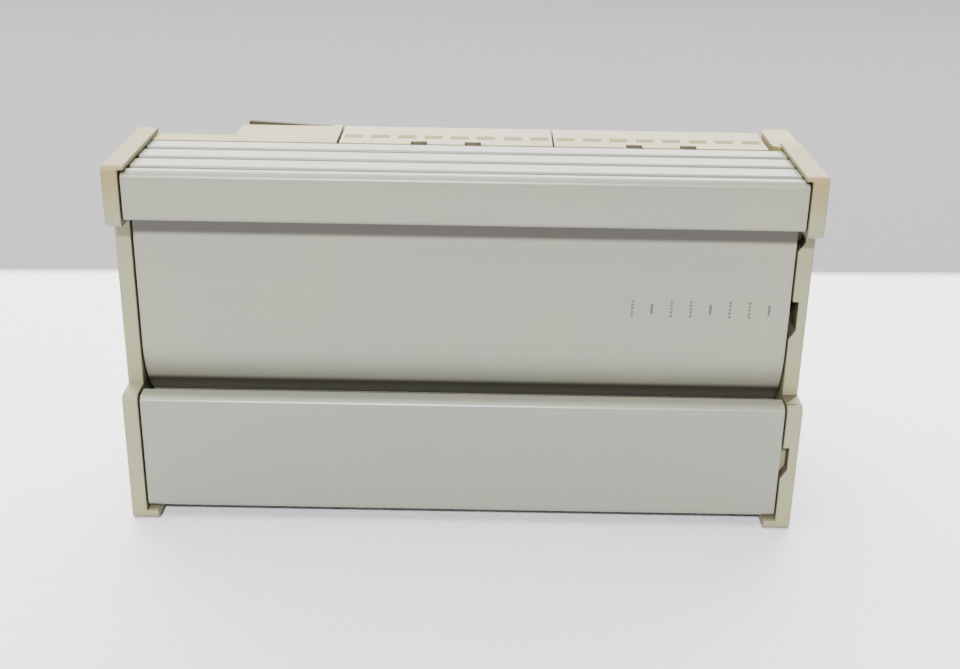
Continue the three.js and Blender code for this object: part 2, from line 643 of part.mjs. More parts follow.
// A funnel that leads a wire in from the outer face down to its clamp. Its wall nearest the housing is
// upright, and the other three slope in to the bore.
function wireFunnel(x, side) {
  const taper = new THREE.BoxGeometry(FUNNEL_WIDTH, FUNNEL_FAR_Y - FUNNEL_NEAR_Y, FUNNEL_DEPTH);
  const points = taper.attributes.position;
  for (let i = 0; i < points.count; i += 1) {
    if (points.getZ(i) < 0) {
      points.setX(i, points.getX(i) * BORE_WIDTH / FUNNEL_WIDTH);
      points.setY(i, Math.min(points.getY(i), (FUNNEL_FAR_Y - FUNNEL_NEAR_Y) / 2 - FUNNEL_SLOPE));
    }
  }
  taper.rotateY(side > 0 ? 0 : Math.PI);
  taper.translate(x, (FUNNEL_NEAR_Y + FUNNEL_FAR_Y) / 2, sided(side, COVER_TOP_Z - FUNNEL_DEPTH / 2 + 0.01));
  const bore = block([x - BORE_WIDTH / 2, x + BORE_WIDTH / 2], [FUNNEL_NEAR_Y, FUNNEL_FAR_Y - FUNNEL_SLOPE],
    sidedRange(side, [COVER_TOP_Z - BORE_DEPTH, COVER_TOP_Z - FUNNEL_DEPTH / 2]));
  return join([taper, bore]);
}

function codingSlot(x, side) {
  const half = CODING_SLOT_LENGTH / 2;
  return block([x - half, x + half], [PLUG_BACK_Y - 1, PLUG_BACK_Y + CODING_SLOT_WIDTH],
    sidedRange(side, [COVER_TOP_Z - CODING_SLOT_DEPTH, COVER_TOP_Z + 1]));
}

function terminalPlug(startX, ways, side) {
  const endX = startX + ways * PLUG_PITCH;
  const middleX = (startX + endX) / 2;
  const noseInset = SHROUD_MARGIN + FIT;
  const body = join([
    block([startX + FIT / 2, endX - FIT / 2], [PLUG_BACK_Y, PLUG_FRONT_Y],
      sidedRange(side, [PLUG_FLOOR_Z, COVER_TOP_Z])),
    block([startX + noseInset, endX - noseInset], [NOSE_BACK_Y, PLUG_BACK_Y + 1],
      sidedRange(side, [NOSE_Z, NOSE_Z + PLUG_NOSE_HEIGHT])),
  ]);
  const slotOffset = ways > POWER_WAYS ? PLUG_PITCH : 0;
  const slots = slotOffset > 0 ? [-1, 1].map((end) => middleX + end * slotOffset) : [middleX];
  const tools = slots.map((x) => codingSlot(x, side));
  const pinZ = sided(side, NOSE_Z + PLUG_NOSE_HEIGHT / 2);
  const socket = PIN_SIZE / 2 + FIT;
  for (let i = 0; i < ways; i += 1) {
    const x = startX + (i + 0.5) * PLUG_PITCH;
    tools.push(wireFunnel(x, side));
    tools.push(barAlongY(SCREW_HOLE_RADIUS, x, [PLUG_FRONT_Y - SCREW_HOLE_DEPTH, PLUG_FRONT_Y + 1], pinZ, 8));
    tools.push(
      block([x - socket, x + socket], [NOSE_BACK_Y - 1, PIN_REACH + FIT], [pinZ - socket, pinZ + socket]),
    );
  }
  return cut(body, tools);
}

function pinHeader(startX, ways, side) {
  const inset = 2 * FIT;
  const x = [startX + inset, startX + ways * PLUG_PITCH - inset];
  const z = [NOSE_Z - SHROUD_MARGIN, NOSE_Z + PLUG_NOSE_HEIGHT + SHROUD_MARGIN];
  const floorY = NOSE_BACK_Y - FIT;
  const shroud = block(x, [PART_START_Y, BAY_DEPTH_Y], sidedRange(side, z));
  const pocket = block([x[0] + SHROUD_WALL, x[1] - SHROUD_WALL], [floorY, BAY_DEPTH_Y + 1],
    sidedRange(side, [z[0] + SHROUD_WALL, z[1] - SHROUD_WALL]));
  const pinZ = sided(side, NOSE_Z + PLUG_NOSE_HEIGHT / 2);
  const half = PIN_SIZE / 2;
  const pins = [];
  for (let i = 0; i < ways; i += 1) {
    const pinX = startX + (i + 0.5) * PLUG_PITCH;
    pins.push(block([pinX - half, pinX + half], [floorY - 0.5, PIN_REACH], [pinZ - half, pinZ + half]));
  }
  return join([cut(shroud, [pocket]), ...pins]);
}

// ---- Boards and what they carry ----------------------------------------------------------------------

function mainBoard() {
  const half = HALF_LENGTH - 1.3;
  return block(
    [-half, half],
    [BOARD_FRONT_Y - BOARD_THICKNESS, BOARD_FRONT_Y],
    [SKIRT_BOTTOM_Z, SKIRT_TOP_Z],
  );
}

function logicBoard() {
  const half = COVER_HALF_LENGTH - COVER_WALL - 1;
  const margin = COVER_WALL + 0.9;
  return block([-half, half], [LOGIC_BOARD_Y, LOGIC_BOARD_Y + BOARD_THICKNESS],
    [HUMP_BOTTOM_Z + margin, HUMP_TOP_Z - margin]);
}

function portBoard() {
  const inset = COVER_WALL + FIT;
  return block([BLOCK_LEFT_X + inset, BLOCK_RIGHT_X - inset], [PORT_BOARD_Y, PORT_BOARD_Y + BOARD_THICKNESS],
    [PLUG_FLOOR_Z, SKIRT_TOP_Z - COVER_WALL - FIT]);
}

// A strip of pins standing on one board and reaching another.
function pinStrip(startX, count, z, reachY) {
  const pitch = 2.54;
  const pin = 0.35;
  const strip = block([startX, startX + count * pitch], [PART_START_Y, PART_START_Y + 2.5],
    [z - pitch / 2, z + pitch / 2]);
  const pins = [];
  for (let i = 0; i < count; i += 1) {
    const x = startX + (i + 0.5) * pitch;
    pins.push(block([x - pin, x + pin], [PART_START_Y + 2, reachY], [z - pin, z + pin]));
  }
  return join([strip, ...pins]);
}

function relay(x) {
  return block(
    [x - 5.1, x + 5.1],
    [PART_START_Y, PART_START_Y + 14.7],
    [HUMP_MIDDLE_Z - 9.1, HUMP_MIDDLE_Z + 9.1],
  );
}

// A dual-in-line package: its body, with one row of legs down each long side.
function isolator(x) {
  const z = HUMP_TOP_Z - 2.2;
  const parts = [block([x - 9.6, x + 9.6], [PART_START_Y + 0.5, PART_START_Y + 3.4], [z - 2.6, z + 2.6])];
  for (let i = 0; i < 8; i += 1) {
    const legX = x + (i - 3.5) * 2.54;
    const leg = [legX - 0.3, legX + 0.3];
    parts.push(block(leg, [PART_START_Y, PART_START_Y + 2.2], [z - 3.1, z + 3.1]));
  }
  return join(parts);
}

function smoothingCapacitor() {
  const radius = 6.3;
  const can = [
    [0, 0],
    [radius - 0.4, 0],
    [radius, 0.4],
    [radius, 1.6],
    [radius - 0.5, 2.2],
    [radius, 2.8],
    [radius, 19.4],
    [radius - 0.6, 20],
    [0, 20],
  ].map(([r, h]) => new THREE.Vector2(r, h));
  return new THREE.LatheGeometry(can, 20).translate(HALF_LENGTH * -0.8, PART_START_Y, HUMP_MIDDLE_Z);
}

function powerTransformer() {
  const x = BLOCK_RIGHT_X - 5;
  const core = block(
    [x - 9, x + 9],
    [PART_START_Y + 3, PART_START_Y + 16],
    [HUMP_MIDDLE_Z - 8, HUMP_MIDDLE_Z + 8],
  );
  const bobbin = block(
    [x - 6, x + 6],
    [PART_START_Y, PART_START_Y + 19],
    [HUMP_MIDDLE_Z - 5, HUMP_MIDDLE_Z + 5],
  );
  return join([core, bobbin]);
}

function processor() {
  const x = PLUG_ROW_START + SIGNAL_PLUG_SPACING * 0.5;
  const back = LOGIC_BOARD_Y - FIT;
  return block([x - 7, x + 7], [back - 1.6, back], [HUMP_MIDDLE_Z - 7, HUMP_MIDDLE_Z + 7]);
}

function clockCrystal() {
  const x = PLUG_ROW_START + SIGNAL_PLUG_SPACING * 0.5 + 15;
  const back = LOGIC_BOARD_Y - FIT;
  const outline = roundedOutline([
    [x - 5.5, HUMP_MIDDLE_Z - 2.3, 2],
    [x + 5.5, HUMP_MIDDLE_Z - 2.3, 2],
    [x + 5.5, HUMP_MIDDLE_Z + 2.3, 2],
    [x - 5.5, HUMP_MIDDLE_Z + 2.3, 2],
  ]);
  return extrudeAlongY(outline, [back - 3.5, back]);
}

// The round socket behind the door: a shell round a shallow ring, with its insulator in the middle.
function serviceSocket() {
  const front = BLOCK_FRONT_Y - 0.4;
  const back = PORT_BOARD_Y + BOARD_THICKNESS + FIT;
  const depth = 3.2;
  const profile = [
    [0, back],
    [SOCKET_RADIUS, back],
    [SOCKET_RADIUS, front],
    [SOCKET_RADIUS - 0.6, front],
    [SOCKET_RADIUS - 0.6, front - depth],
    [SOCKET_RADIUS - 1.8, front - depth],
    [SOCKET_RADIUS - 1.8, front - 0.8],
    [0, front - 0.8],
  ].map(([r, h]) => new THREE.Vector2(r, h));
  return new THREE.LatheGeometry(profile, 20).translate(SOCKET_X, 0, PORT_Z);
}

function modeSwitch() {
  const x = [SWITCH_X - SWITCH_WIDTH / 2, SWITCH_X + SWITCH_WIDTH / 2];
  const front = BLOCK_FRONT_Y - 1.2;
  const body = block(x, [PORT_BOARD_Y + BOARD_THICKNESS + FIT, front],
    [PORT_Z - SWITCH_HEIGHT / 2, PORT_Z + SWITCH_HEIGHT / 2]);
  const reach = (SWITCH_TRAVEL + SLIDER_HEIGHT) / 2 + GUIDE_FIT;
  return cut(
    body,
    [block([x[0] + 0.9, x[1] - 0.9], [front - 2.4, front + 1], [PORT_Z - reach, PORT_Z + reach])],
  );
}

function modeSlider() {
  const half = SWITCH_WIDTH / 2 - 0.9 - GUIDE_FIT;
  const front = BLOCK_FRONT_Y - 1.2;
  const lowest = PORT_Z - (SWITCH_TRAVEL + SLIDER_HEIGHT) / 2;
  return block(
    [SWITCH_X - half, SWITCH_X + half],
    [front - 2.1, front + 0.8],
    [lowest, lowest + SLIDER_HEIGHT],
  );
}

// ---- Sprung rail pads --------------------------------------------------------------------------------

function railPad(x) {
  const half = PAD_LENGTH / 2;
  const tipY = [PAD_Y - PAD_THICKNESS / 2, PAD_Y + PAD_THICKNESS / 2];
  const shoulderY = [PAD_Y - SPRING_RADIUS - SPRING_WIRE, PAD_Y + SPRING_RADIUS + SPRING_WIRE];
  const shoulderZ = [PAD_SHOULDER_TOP - PAD_SHOULDER_HEIGHT, PAD_SHOULDER_TOP];
  return join([
    block([x - half, x + half], tipY, [PAD_SHOULDER_TOP - 1, CHANNEL_FLOOR_Z + PAD_STANDOUT]),
    block([x - half - 1.5, x + half + 1.5], shoulderY, shoulderZ),
    barAlongZ(SPRING_RADIUS - SPRING_WIRE - GUIDE_FIT, x, PAD_Y, [shoulderZ[0] - 2, shoulderZ[0] + 1], 8),
  ]);
}

class HelixCurve extends THREE.Curve {
  constructor(radius, turns, startZ, height, x, y) {
    super();
    Object.assign(this, { radius, turns, startZ, height, x, y });
  }

  getPoint(t, target = new THREE.Vector3()) {
    const angle = 2 * Math.PI * this.turns * t;
    const across = this.x + this.radius * Math.cos(angle);
    return target.set(across, this.y + this.radius * Math.sin(angle), this.startZ + this.height * t);
  }
}

function padSpring(x) {
  const start = WALL + FIT + SPRING_WIRE;
  const end = PAD_SHOULDER_TOP - PAD_SHOULDER_HEIGHT - FIT - SPRING_WIRE;
  const coil = new HelixCurve(SPRING_RADIUS, SPRING_TURNS, start, end - start, x, PAD_Y);
  const wire = new THREE.Shape().absarc(0, 0, SPRING_WIRE, 0, 2 * Math.PI);
  const geometry = new THREE.ExtrudeGeometry(wire, {
    steps: SPRING_TURNS * 10, extrudePath: coil, bevelEnabled: false, curveSegments: 5,
  });
  return toGeometry(toSolid(geometry));
}

// ---- Assembly ----------------------------------------------------------------------------------------

const module = new THREE.Group();
module.position.set(0, CAP_PROUD - (COVER_DEPTH + CAP_PROUD) / 2, CAP_FOOT);

function place(name, geometry, finish, parent = module) {
  const mesh = new THREE.Mesh(geometry, new THREE.MeshStandardMaterial(FINISHES[finish]));
  mesh.name = name;
  parent.add(mesh);
}

function placeHousing() {
  place('profile_trough', profileTrough(), 'greyPvc');
  place('left_end_cap', leftEndCap(), 'creamAbs');
  place('right_end_cap', rightEndCap(), 'creamAbs');
  place('front_cover', frontCover(), 'creamAbs');
  place('label_plate', labelPlate(), 'labelFilm');
}

function placeTerminals() {
  for (const [sideName, side] of [['top', 1], ['bottom', -1]]) {
    signalPlugStarts().forEach((startX, index) => {
      const spot = `${sideName}_${['left', 'right'][index]}`;
      place(`header_${spot}`, pinHeader(startX, SIGNAL_WAYS, side), 'darkPlastic');
      place(`plug_${spot}`, terminalPlug(startX, SIGNAL_WAYS, side), 'creamAbs');
    });
  }
  place('power_header', pinHeader(POWER_PLUG_START, POWER_WAYS, -1), 'darkPlastic');
  place('power_plug', terminalPlug(POWER_PLUG_START, POWER_WAYS, -1), 'creamAbs');
}

function placeElectronics() {
  const lowRow = HUMP_BOTTOM_Z + 4.6;
  place('main_board', mainBoard(), 'greenBoard');
  place('logic_board', logicBoard(), 'greenBoard');
  place('port_board', portBoard(), 'greenBoard');
  place('board_link_left', pinStrip(PLUG_ROW_START + 5, 10, lowRow, LOGIC_BOARD_Y - FIT), 'darkPlastic');
  place('board_link_right', pinStrip(PLUG_ROW_END - 32, 10, lowRow, LOGIC_BOARD_Y - FIT), 'darkPlastic');
  place(
    'port_board_link',
    pinStrip(BLOCK_LEFT_X + 4, 4, PLUG_FLOOR_Z + 1.6, PORT_BOARD_Y - FIT),
    'darkPlastic',
  );
  for (let i = 0; i < 4; i += 1) {
    place(`output_relay_${i + 1}`, relay(PLUG_ROW_START + FIRST_RELAY + i * RELAY_SPACING), 'relayCase');
  }
  place('input_isolator_1', isolator(PLUG_ROW_START + 12), 'darkPlastic');
  place('input_isolator_2', isolator(PLUG_ROW_START + 36), 'darkPlastic');
  place('power_transformer', powerTransformer(), 'winding');
  place('smoothing_capacitor', smoothingCapacitor(), 'canSleeve');
  place('processor', processor(), 'darkPlastic');
  place('clock_crystal', clockCrystal(), 'steel');
  place('light_guide_top', lightGuide(1), 'clearAcrylic');
  place('light_guide_bottom', lightGuide(-1), 'clearAcrylic');
  place('status_guide', statusGuide(), 'clearAcrylic');
}

function placePort() {
  place('service_socket', serviceSocket(), 'darkPlastic');
  place('mode_switch', modeSwitch(), 'darkPlastic');
  place('mode_slider', modeSlider(), 'paleNylon');
  const hinge = new THREE.Group();
  hinge.position.set(HINGE_X, HINGE_Y, 0);
  hinge.rotation.z = THREE.MathUtils.degToRad(-FLAP_REST_ANGLE);
  module.add(hinge);
  place('port_flap', flapDoor(), 'smokedAbs', hinge);
}

function placeRailPads() {
  for (const [name, x] of [['left', -PAD_OFFSET_X], ['right', PAD_OFFSET_X]]) {
    place(`rail_pad_${name}`, railPad(x), 'paleNylon');
    place(`pad_spring_${name}`, padSpring(x), 'steel');
  }
}

placeHousing();
placeTerminals();
placeElectronics();
placePort();
placeRailPads();

export default module;
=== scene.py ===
"""Visual model of a rail-mounted input/output module of a programmable controller.

The module stands on the lower edges of its end caps, with its rail side towards the camera. Lengths are in
millimetres in the row frame until a surface becomes a mesh, which is in metres.
"""

import json
import logging
import math
from collections.abc import Sequence
from dataclasses import dataclass, field
from enum import Enum

import bmesh
import bpy
import numpy as np
from mathutils import Matrix, Vector

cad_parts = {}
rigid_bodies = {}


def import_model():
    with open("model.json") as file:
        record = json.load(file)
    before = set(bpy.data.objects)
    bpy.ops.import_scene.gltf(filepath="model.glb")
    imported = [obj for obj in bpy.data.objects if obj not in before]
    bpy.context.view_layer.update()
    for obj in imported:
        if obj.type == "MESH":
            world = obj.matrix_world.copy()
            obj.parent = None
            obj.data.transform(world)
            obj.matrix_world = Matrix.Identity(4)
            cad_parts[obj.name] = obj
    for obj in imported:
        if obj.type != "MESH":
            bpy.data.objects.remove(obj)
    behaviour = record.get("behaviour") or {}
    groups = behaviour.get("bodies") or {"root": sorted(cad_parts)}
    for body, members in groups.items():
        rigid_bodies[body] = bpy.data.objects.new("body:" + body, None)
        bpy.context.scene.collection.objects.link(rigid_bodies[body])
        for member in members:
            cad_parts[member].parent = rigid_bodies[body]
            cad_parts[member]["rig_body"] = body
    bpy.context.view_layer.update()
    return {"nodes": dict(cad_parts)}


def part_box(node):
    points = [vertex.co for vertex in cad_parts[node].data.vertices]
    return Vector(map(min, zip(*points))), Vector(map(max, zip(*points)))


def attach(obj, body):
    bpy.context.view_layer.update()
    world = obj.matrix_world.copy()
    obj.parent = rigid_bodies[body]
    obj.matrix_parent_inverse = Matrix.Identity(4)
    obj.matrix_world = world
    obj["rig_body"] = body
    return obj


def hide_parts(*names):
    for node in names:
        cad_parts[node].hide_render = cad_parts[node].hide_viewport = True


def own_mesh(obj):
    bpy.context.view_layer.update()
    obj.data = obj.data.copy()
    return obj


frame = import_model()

MM = 0.001
log = logging.getLogger("plc_module")

Array = np.ndarray
Point = tuple[float, float, float]


# ---- Surfaces ----------------------------------------------------------------------------------------


@dataclass
class Surface:
    """Points in millimetres, and faces as tuples of point numbers."""

    points: Array
    faces: list[tuple[int, ...]]

    def moved(self, offset: Sequence[float]) -> "Surface":
        """The surface shifted by an offset in millimetres."""
        return Surface(self.points + np.asarray(offset, float), self.faces)

    def copied_to(self, offsets: Array) -> "Surface":
        """Copies of the surface, one at each offset, as one surface."""
        return merged([self.moved(offset) for offset in np.atleast_2d(offsets)])


def merged(surfaces: Sequence[Surface]) -> Surface:
    """Several surfaces as one.

    Args:
        surfaces: The surfaces, whose face numbers each start at nought.

    Returns:
        One surface, with the face numbers of each shifted past the ones before it.
    """
    starts = np.cumsum([0] + [len(s.points) for s in surfaces])
    faces = [tuple(int(i + start) for i in face) for s, start in zip(surfaces, starts) for face in s.faces]
    return Surface(np.vstack([s.points for s in surfaces]), faces)


def grid_faces(rows: int, columns: int, close_rows: bool = False, close_columns: bool = True) -> list[tuple]:
    """Quads over a grid of points numbered row by row.

    Args:
        rows: Number of rows.
        columns: Number of points in a row.
        close_rows: Whether the last row joins the first.
        close_columns: Whether the last column joins the first.

    Returns:
        The faces.
    """
    i, j = np.meshgrid(
        np.arange(rows if close_rows else rows - 1),
        np.arange(columns if close_columns else columns - 1),
        indexing="ij",
    )
    i, j = i.ravel(), j.ravel()
    down, along = (i + 1) % rows, (j + 1) % columns
    quads = np.stack([i * columns + j, i * columns + along, down * columns + along, down * columns + j], 1)
    return [tuple(int(v) for v in quad) for quad in quads]


def swept_along_x(outline: Array, stations: Array) -> Surface:
    """A closed (y, z) outline carried along x: point(i, j) = (station i, outline j), with both ends capped.

    Args:
        outline: The outline's points, as rows of y and z.
        stations: The x values that it is carried through.

    Returns:
        The closed surface.
    """
    count, sections = len(outline), len(stations)
    x = np.repeat(stations, count)
    yz = np.tile(outline, (sections, 1))
    faces = grid_faces(sections, count)
    faces.append(tuple(range(count)))
    faces.append(tuple(range(sections * count - 1, (sections - 1) * count - 1, -1)))
    return Surface(np.column_stack([x, yz]), faces)


class Axis(Enum):
    """The row axis that a turned piece is turned about."""

    Y = "y"
    Z = "z"


def turned(profile: Array, sides: int, axis: Axis) -> Surface:
    """A profile of (radius, height) turned about an axis, with its first and last points on the axis.

    A ring point is (r cos a, r sin a) across the axis and h along it, for equal steps of a.

    Args:
        profile: Rows of radius and height. The first and last radius are nought.
        sides: Number of steps round.
        axis: The axis that height runs along.

    Returns:
        The closed surface.
    """
    angle = np.linspace(0, 2 * math.pi, sides, endpoint=False)
    rings = profile[1:-1]
    across = rings[:, :1] * np.cos(angle)
    beside = rings[:, :1] * np.sin(angle)
    along = np.repeat(rings[:, 1:], sides, 1)
    ends = [[0, 0, profile[0, 1]], [0, 0, profile[-1, 1]]]
    points = np.vstack([np.stack([across, beside, along], 2).reshape(-1, 3), ends])
    first, last = len(points) - 2, len(points) - 1
    faces = grid_faces(len(rings), sides)
    top = (len(rings) - 1) * sides
    faces += [(first, (j + 1) % sides, j) for j in range(sides)]
    faces += [(last, top + j, top + (j + 1) % sides) for j in range(sides)]
    if axis is Axis.Y:
        points = points[:, [0, 2, 1]]
    return Surface(points, faces)


def tube(path: Array, radius: float, sides: int) -> Surface:
    """A round wire along a path: each ring stands square to the path, in a frame carried on from z.

    Args:
        path: The points of the centreline.
        radius: Radius of the wire.
        sides: Number of sides.

    Returns:
        The closed surface, with flat ends.
    """
    tangent = np.gradient(path, axis=0)
    tangent /= np.linalg.norm(tangent, axis=1, keepdims=True)
    side = np.cross(tangent, [0.0, 0.0, 1.0])
    side /= np.linalg.norm(side, axis=1, keepdims=True)
    up = np.cross(side, tangent)
    angle = np.linspace(0, 2 * math.pi, sides, endpoint=False)
    ring = side[:, None] * np.cos(angle)[None, :, None] + up[:, None] * np.sin(angle)[None, :, None]
    points = (path[:, None] + radius * ring).reshape(-1, 3)
    faces = grid_faces(len(path), sides)
    faces.append(tuple(range(sides - 1, -1, -1)))
    faces.append(tuple(range((len(path) - 1) * sides, len(path) * sides)))
    return Surface(points, faces)


def bars(lows: Array, highs: Array) -> Surface:
    """Square bars between pairs of opposite corners: each corner takes low or high on each axis.

    Args:
        lows: Rows of lowest corners.
        highs: Rows of highest corners.

    Returns:
        All the bars as one surface.
    """
    lows, highs = np.atleast_2d(lows), np.atleast_2d(highs)
    pick = np.array([[i >> 2 & 1, i >> 1 & 1, i & 1] for i in range(8)])
    points = (lows[:, None] + pick[None] * (highs - lows)[:, None]).reshape(-1, 3)
    sides = [(0, 1, 3, 2), (4, 6, 7, 5), (0, 4, 5, 1), (2, 3, 7, 6), (0, 2, 6, 4), (1, 5, 7, 3)]
    faces = [tuple(8 * n + i for i in face) for n in range(len(lows)) for face in sides]
    return Surface(points, faces)


def fillet(corner: Sequence[float], start: float, radius: float, steps: int = 6, turn: float = 90) -> Array:
    """Points of a quarter arc about a centre: centre + radius (cos a, sin a), from start through turn degrees."""
    angle = np.radians(np.linspace(start, start + turn, steps + 1))
    return np.asarray(corner) + radius * np.column_stack([np.cos(angle), np.sin(angle)])


# ---- Meshes ------------------------------------------------------------------------------------------


def smooth_by_angle(mesh: bpy.types.Mesh, degrees: float = 35) -> None:
    """Smooths the shading over every edge that is flatter than an angle."""
    mesh.polygons.foreach_set("use_smooth", np.ones(len(mesh.polygons), bool))
    mesh.set_sharp_from_angle(angle=math.radians(degrees))


def add_bevel(piece: bpy.types.Object, width: float, segments: int = 2) -> None:
    """Rounds a piece's sharp edges.

    Args:
        piece: The object.
        width: Width of the rounding, in millimetres.
        segments: Number of steps across it.
    """
    bevel = piece.modifiers.new("edge_round", "BEVEL")
    bevel.width = width * MM
    bevel.segments = segments
    bevel.limit_method = "ANGLE"
    bevel.angle_limit = math.radians(40)
    bevel.use_clamp_overlap = False
    bevel.loop_slide = False
    bevel.harden_normals = True


def piece_from(name: str, surface: Surface, material: bpy.types.Material, body: str) -> bpy.types.Object:
    """Makes a surface into an object that rides on a body.

    Args:
        name: Name of the piece.
        surface: Its surface, in millimetres.
        material: Its material.
        body: The CAD body that it moves with.

    Returns:
        The object.
    """
    mesh = bpy.data.meshes.new(name)
    mesh.from_pydata((surface.points * MM).tolist(), [], surface.faces)
    return finish_piece(name, mesh, material, body)


def finish_piece(
    name: str, mesh: bpy.types.Mesh, material: bpy.types.Material, body: str
) -> bpy.types.Object:
    """Turns a mesh's faces outwards, shades it, and puts it on a body as a dressed object."""
    work = bmesh.new()
    work.from_mesh(mesh)
    bmesh.ops.recalc_face_normals(work, faces=work.faces)
    work.to_mesh(mesh)
    work.free()
    smooth_by_angle(mesh)
    mesh.materials.append(material)
    piece = bpy.data.objects.new(name, mesh)
    bpy.context.scene.collection.objects.link(piece)
    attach(piece, body)
    return piece


def refined(
    node: str, material: bpy.types.Material, edge: float, segments: int = 2, merge: bool = True
) -> bpy.types.Object:
    """A copy of a CAD node with its triangles merged into flat faces and its edges rounded.

    Args:
        node: The CAD node, which the copy stands for.
        material: Its material.
        edge: Width of the rounding, in millimetres, or 0 where the material rounds the edges itself.
        segments: Number of steps across it.
        merge: Whether triangles in one plane become one face, which a face full of holes can't.

    Returns:
        The object, named after the node.
    """
    source = frame["nodes"][node]
    mesh = bpy.data.meshes.new(node + "_body")
    work = bmesh.new()
    work.from_mesh(source.data)
    bmesh.ops.remove_doubles(work, verts=work.verts, dist=0.002 * MM)
    if merge:
        bmesh.ops.dissolve_limit(work, angle_limit=math.radians(1), verts=work.verts, edges=work.edges)
    work.to_mesh(mesh)
    work.free()
    piece = finish_piece(node + "_body", mesh, material, source["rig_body"])
    if edge:
        add_bevel(piece, edge, segments)
    else:
        mesh.shade_flat()
    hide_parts(node)
    return piece


def paint_faces(piece: bpy.types.Object, material: bpy.types.Material, chosen: Array) -> None:
    """Gives some faces of a piece a second material.

    Args:
        piece: The object.
        material: The second material.
        chosen: One truth value for each face.
    """
    piece.data.materials.append(material)
    index = np.where(chosen, len(piece.data.materials) - 1, 0).astype(np.int32)
    piece.data.polygons.foreach_set("material_index", index)


def face_centres(piece: bpy.types.Object) -> Array:
    """The middles of a piece's faces, in millimetres."""
    centres = np.empty(len(piece.data.polygons) * 3)
    piece.data.polygons.foreach_get("center", centres)
    return centres.reshape(-1, 3) / MM


def node_box(node: str) -> tuple[Array, Array]:
    """The lowest and highest corners of a CAD node, in millimetres."""
    low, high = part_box(node)
    return np.array(low) / MM, np.array(high) / MM


# ---- Finishes ----------------------------------------------------------------------------------------


def linear(code: str) -> tuple[float, float, float, float]:
    """An sRGB colour such as #b5b6b0 as linear red, green and blue with full alpha."""
    srgb = np.array([int(code[i : i + 2], 16) for i in (1, 3, 5)]) / 255
    value = np.where(srgb <= 0.04045, srgb / 12.92, ((srgb + 0.055) / 1.055) ** 2.4)
    return (*(float(v) for v in value), 1.0)


def per_metre(millimetres: float) -> float:
    """The texture scale on Object coordinates whose features repeat at about that many millimetres."""
    return 1000 / millimetres


def add_node(tree: bpy.types.NodeTree, kind: str, inputs: dict | None = None, **settings: object) -> bpy.types.Node:
    """Adds a shader node with its settings, values and links.

    Args:
        tree: The node tree.
        kind: The node's type, without its ShaderNode prefix.
        inputs: Input name or number to a value, or to the socket that feeds it.
        settings: The node's own properties.

    Returns:
        The node.
    """
    node = tree.nodes.new("ShaderNode" + kind)
    for key, value in settings.items():
        setattr(node, key, value)
    feed(tree, node, inputs or {})
    return node


def feed(tree: bpy.types.NodeTree, node: bpy.types.Node, inputs: dict) -> None:
    """Gives a node's inputs their values, or joins them to the sockets that feed them."""
    for key, value in inputs.items():
        if isinstance(value, bpy.types.NodeSocket):
            tree.links.new(value, node.inputs[key])
        else:
            node.inputs[key].default_value = value


def ramp(
    tree: bpy.types.NodeTree,
    value: bpy.types.NodeSocket,
    at_low: float,
    at_high: float,
    low: float = 0,
    high: float = 1,
    smooth: bool = False,
) -> bpy.types.NodeSocket:
    """Takes a value from the range low to high onto at_low to at_high, clamped, and gives its socket."""
    inputs = {"Value": value, "From Min": low, "From Max": high, "To Min": at_low, "To Max": at_high}
    return add_node(tree, "MapRange", inputs, interpolation_type="SMOOTHSTEP" if smooth else "LINEAR").outputs[0]


def arithmetic(
    tree: bpy.types.NodeTree, operation: str, first: object, second: object, clamp: bool = False
) -> bpy.types.NodeSocket:
    """Works out one operation on two values or sockets, and gives the result's socket."""
    return add_node(tree, "Math", {0: first, 1: second}, operation=operation, use_clamp=clamp).outputs[0]


def noise(
    tree: bpy.types.NodeTree, place: bpy.types.NodeSocket, size_mm: float, detail: float, roughness: float = 0.5
) -> bpy.types.NodeSocket:
    """Even noise whose features have a size in millimetres, as its socket."""
    inputs = {"Vector": place, "Scale": per_metre(size_mm), "Detail": detail, "Roughness": roughness}
    return add_node(tree, "TexNoise", inputs).outputs["Fac"]


def add_bump(
    tree: bpy.types.NodeTree,
    surface: bpy.types.Node,
    height: bpy.types.NodeSocket,
    strength: float,
    depth_mm: float,
) -> bpy.types.Node:
    """Puts a relief on a surface shader, and gives the bump node."""
    bump = add_node(tree, "Bump", {"Strength": strength, "Distance": depth_mm * MM, "Height": height})
    feed(tree, surface, {"Normal": bump.outputs[0]})
    return bump


@dataclass(frozen=True)
class Stain:
    """A soft patch of another colour about a point, in millimetres."""

    centre: Point
    radius: float
    colour: str
    strength: float = 0.6


@dataclass(frozen=True)
class Band:
    """A tint that thickens from one height to another, in millimetres, and stops past a third.

    It lies only on what is further back than a depth, which is in millimetres too.
    """

    start: float
    full: float
    end: float
    colour: str
    strength: float
    behind: float = -1000


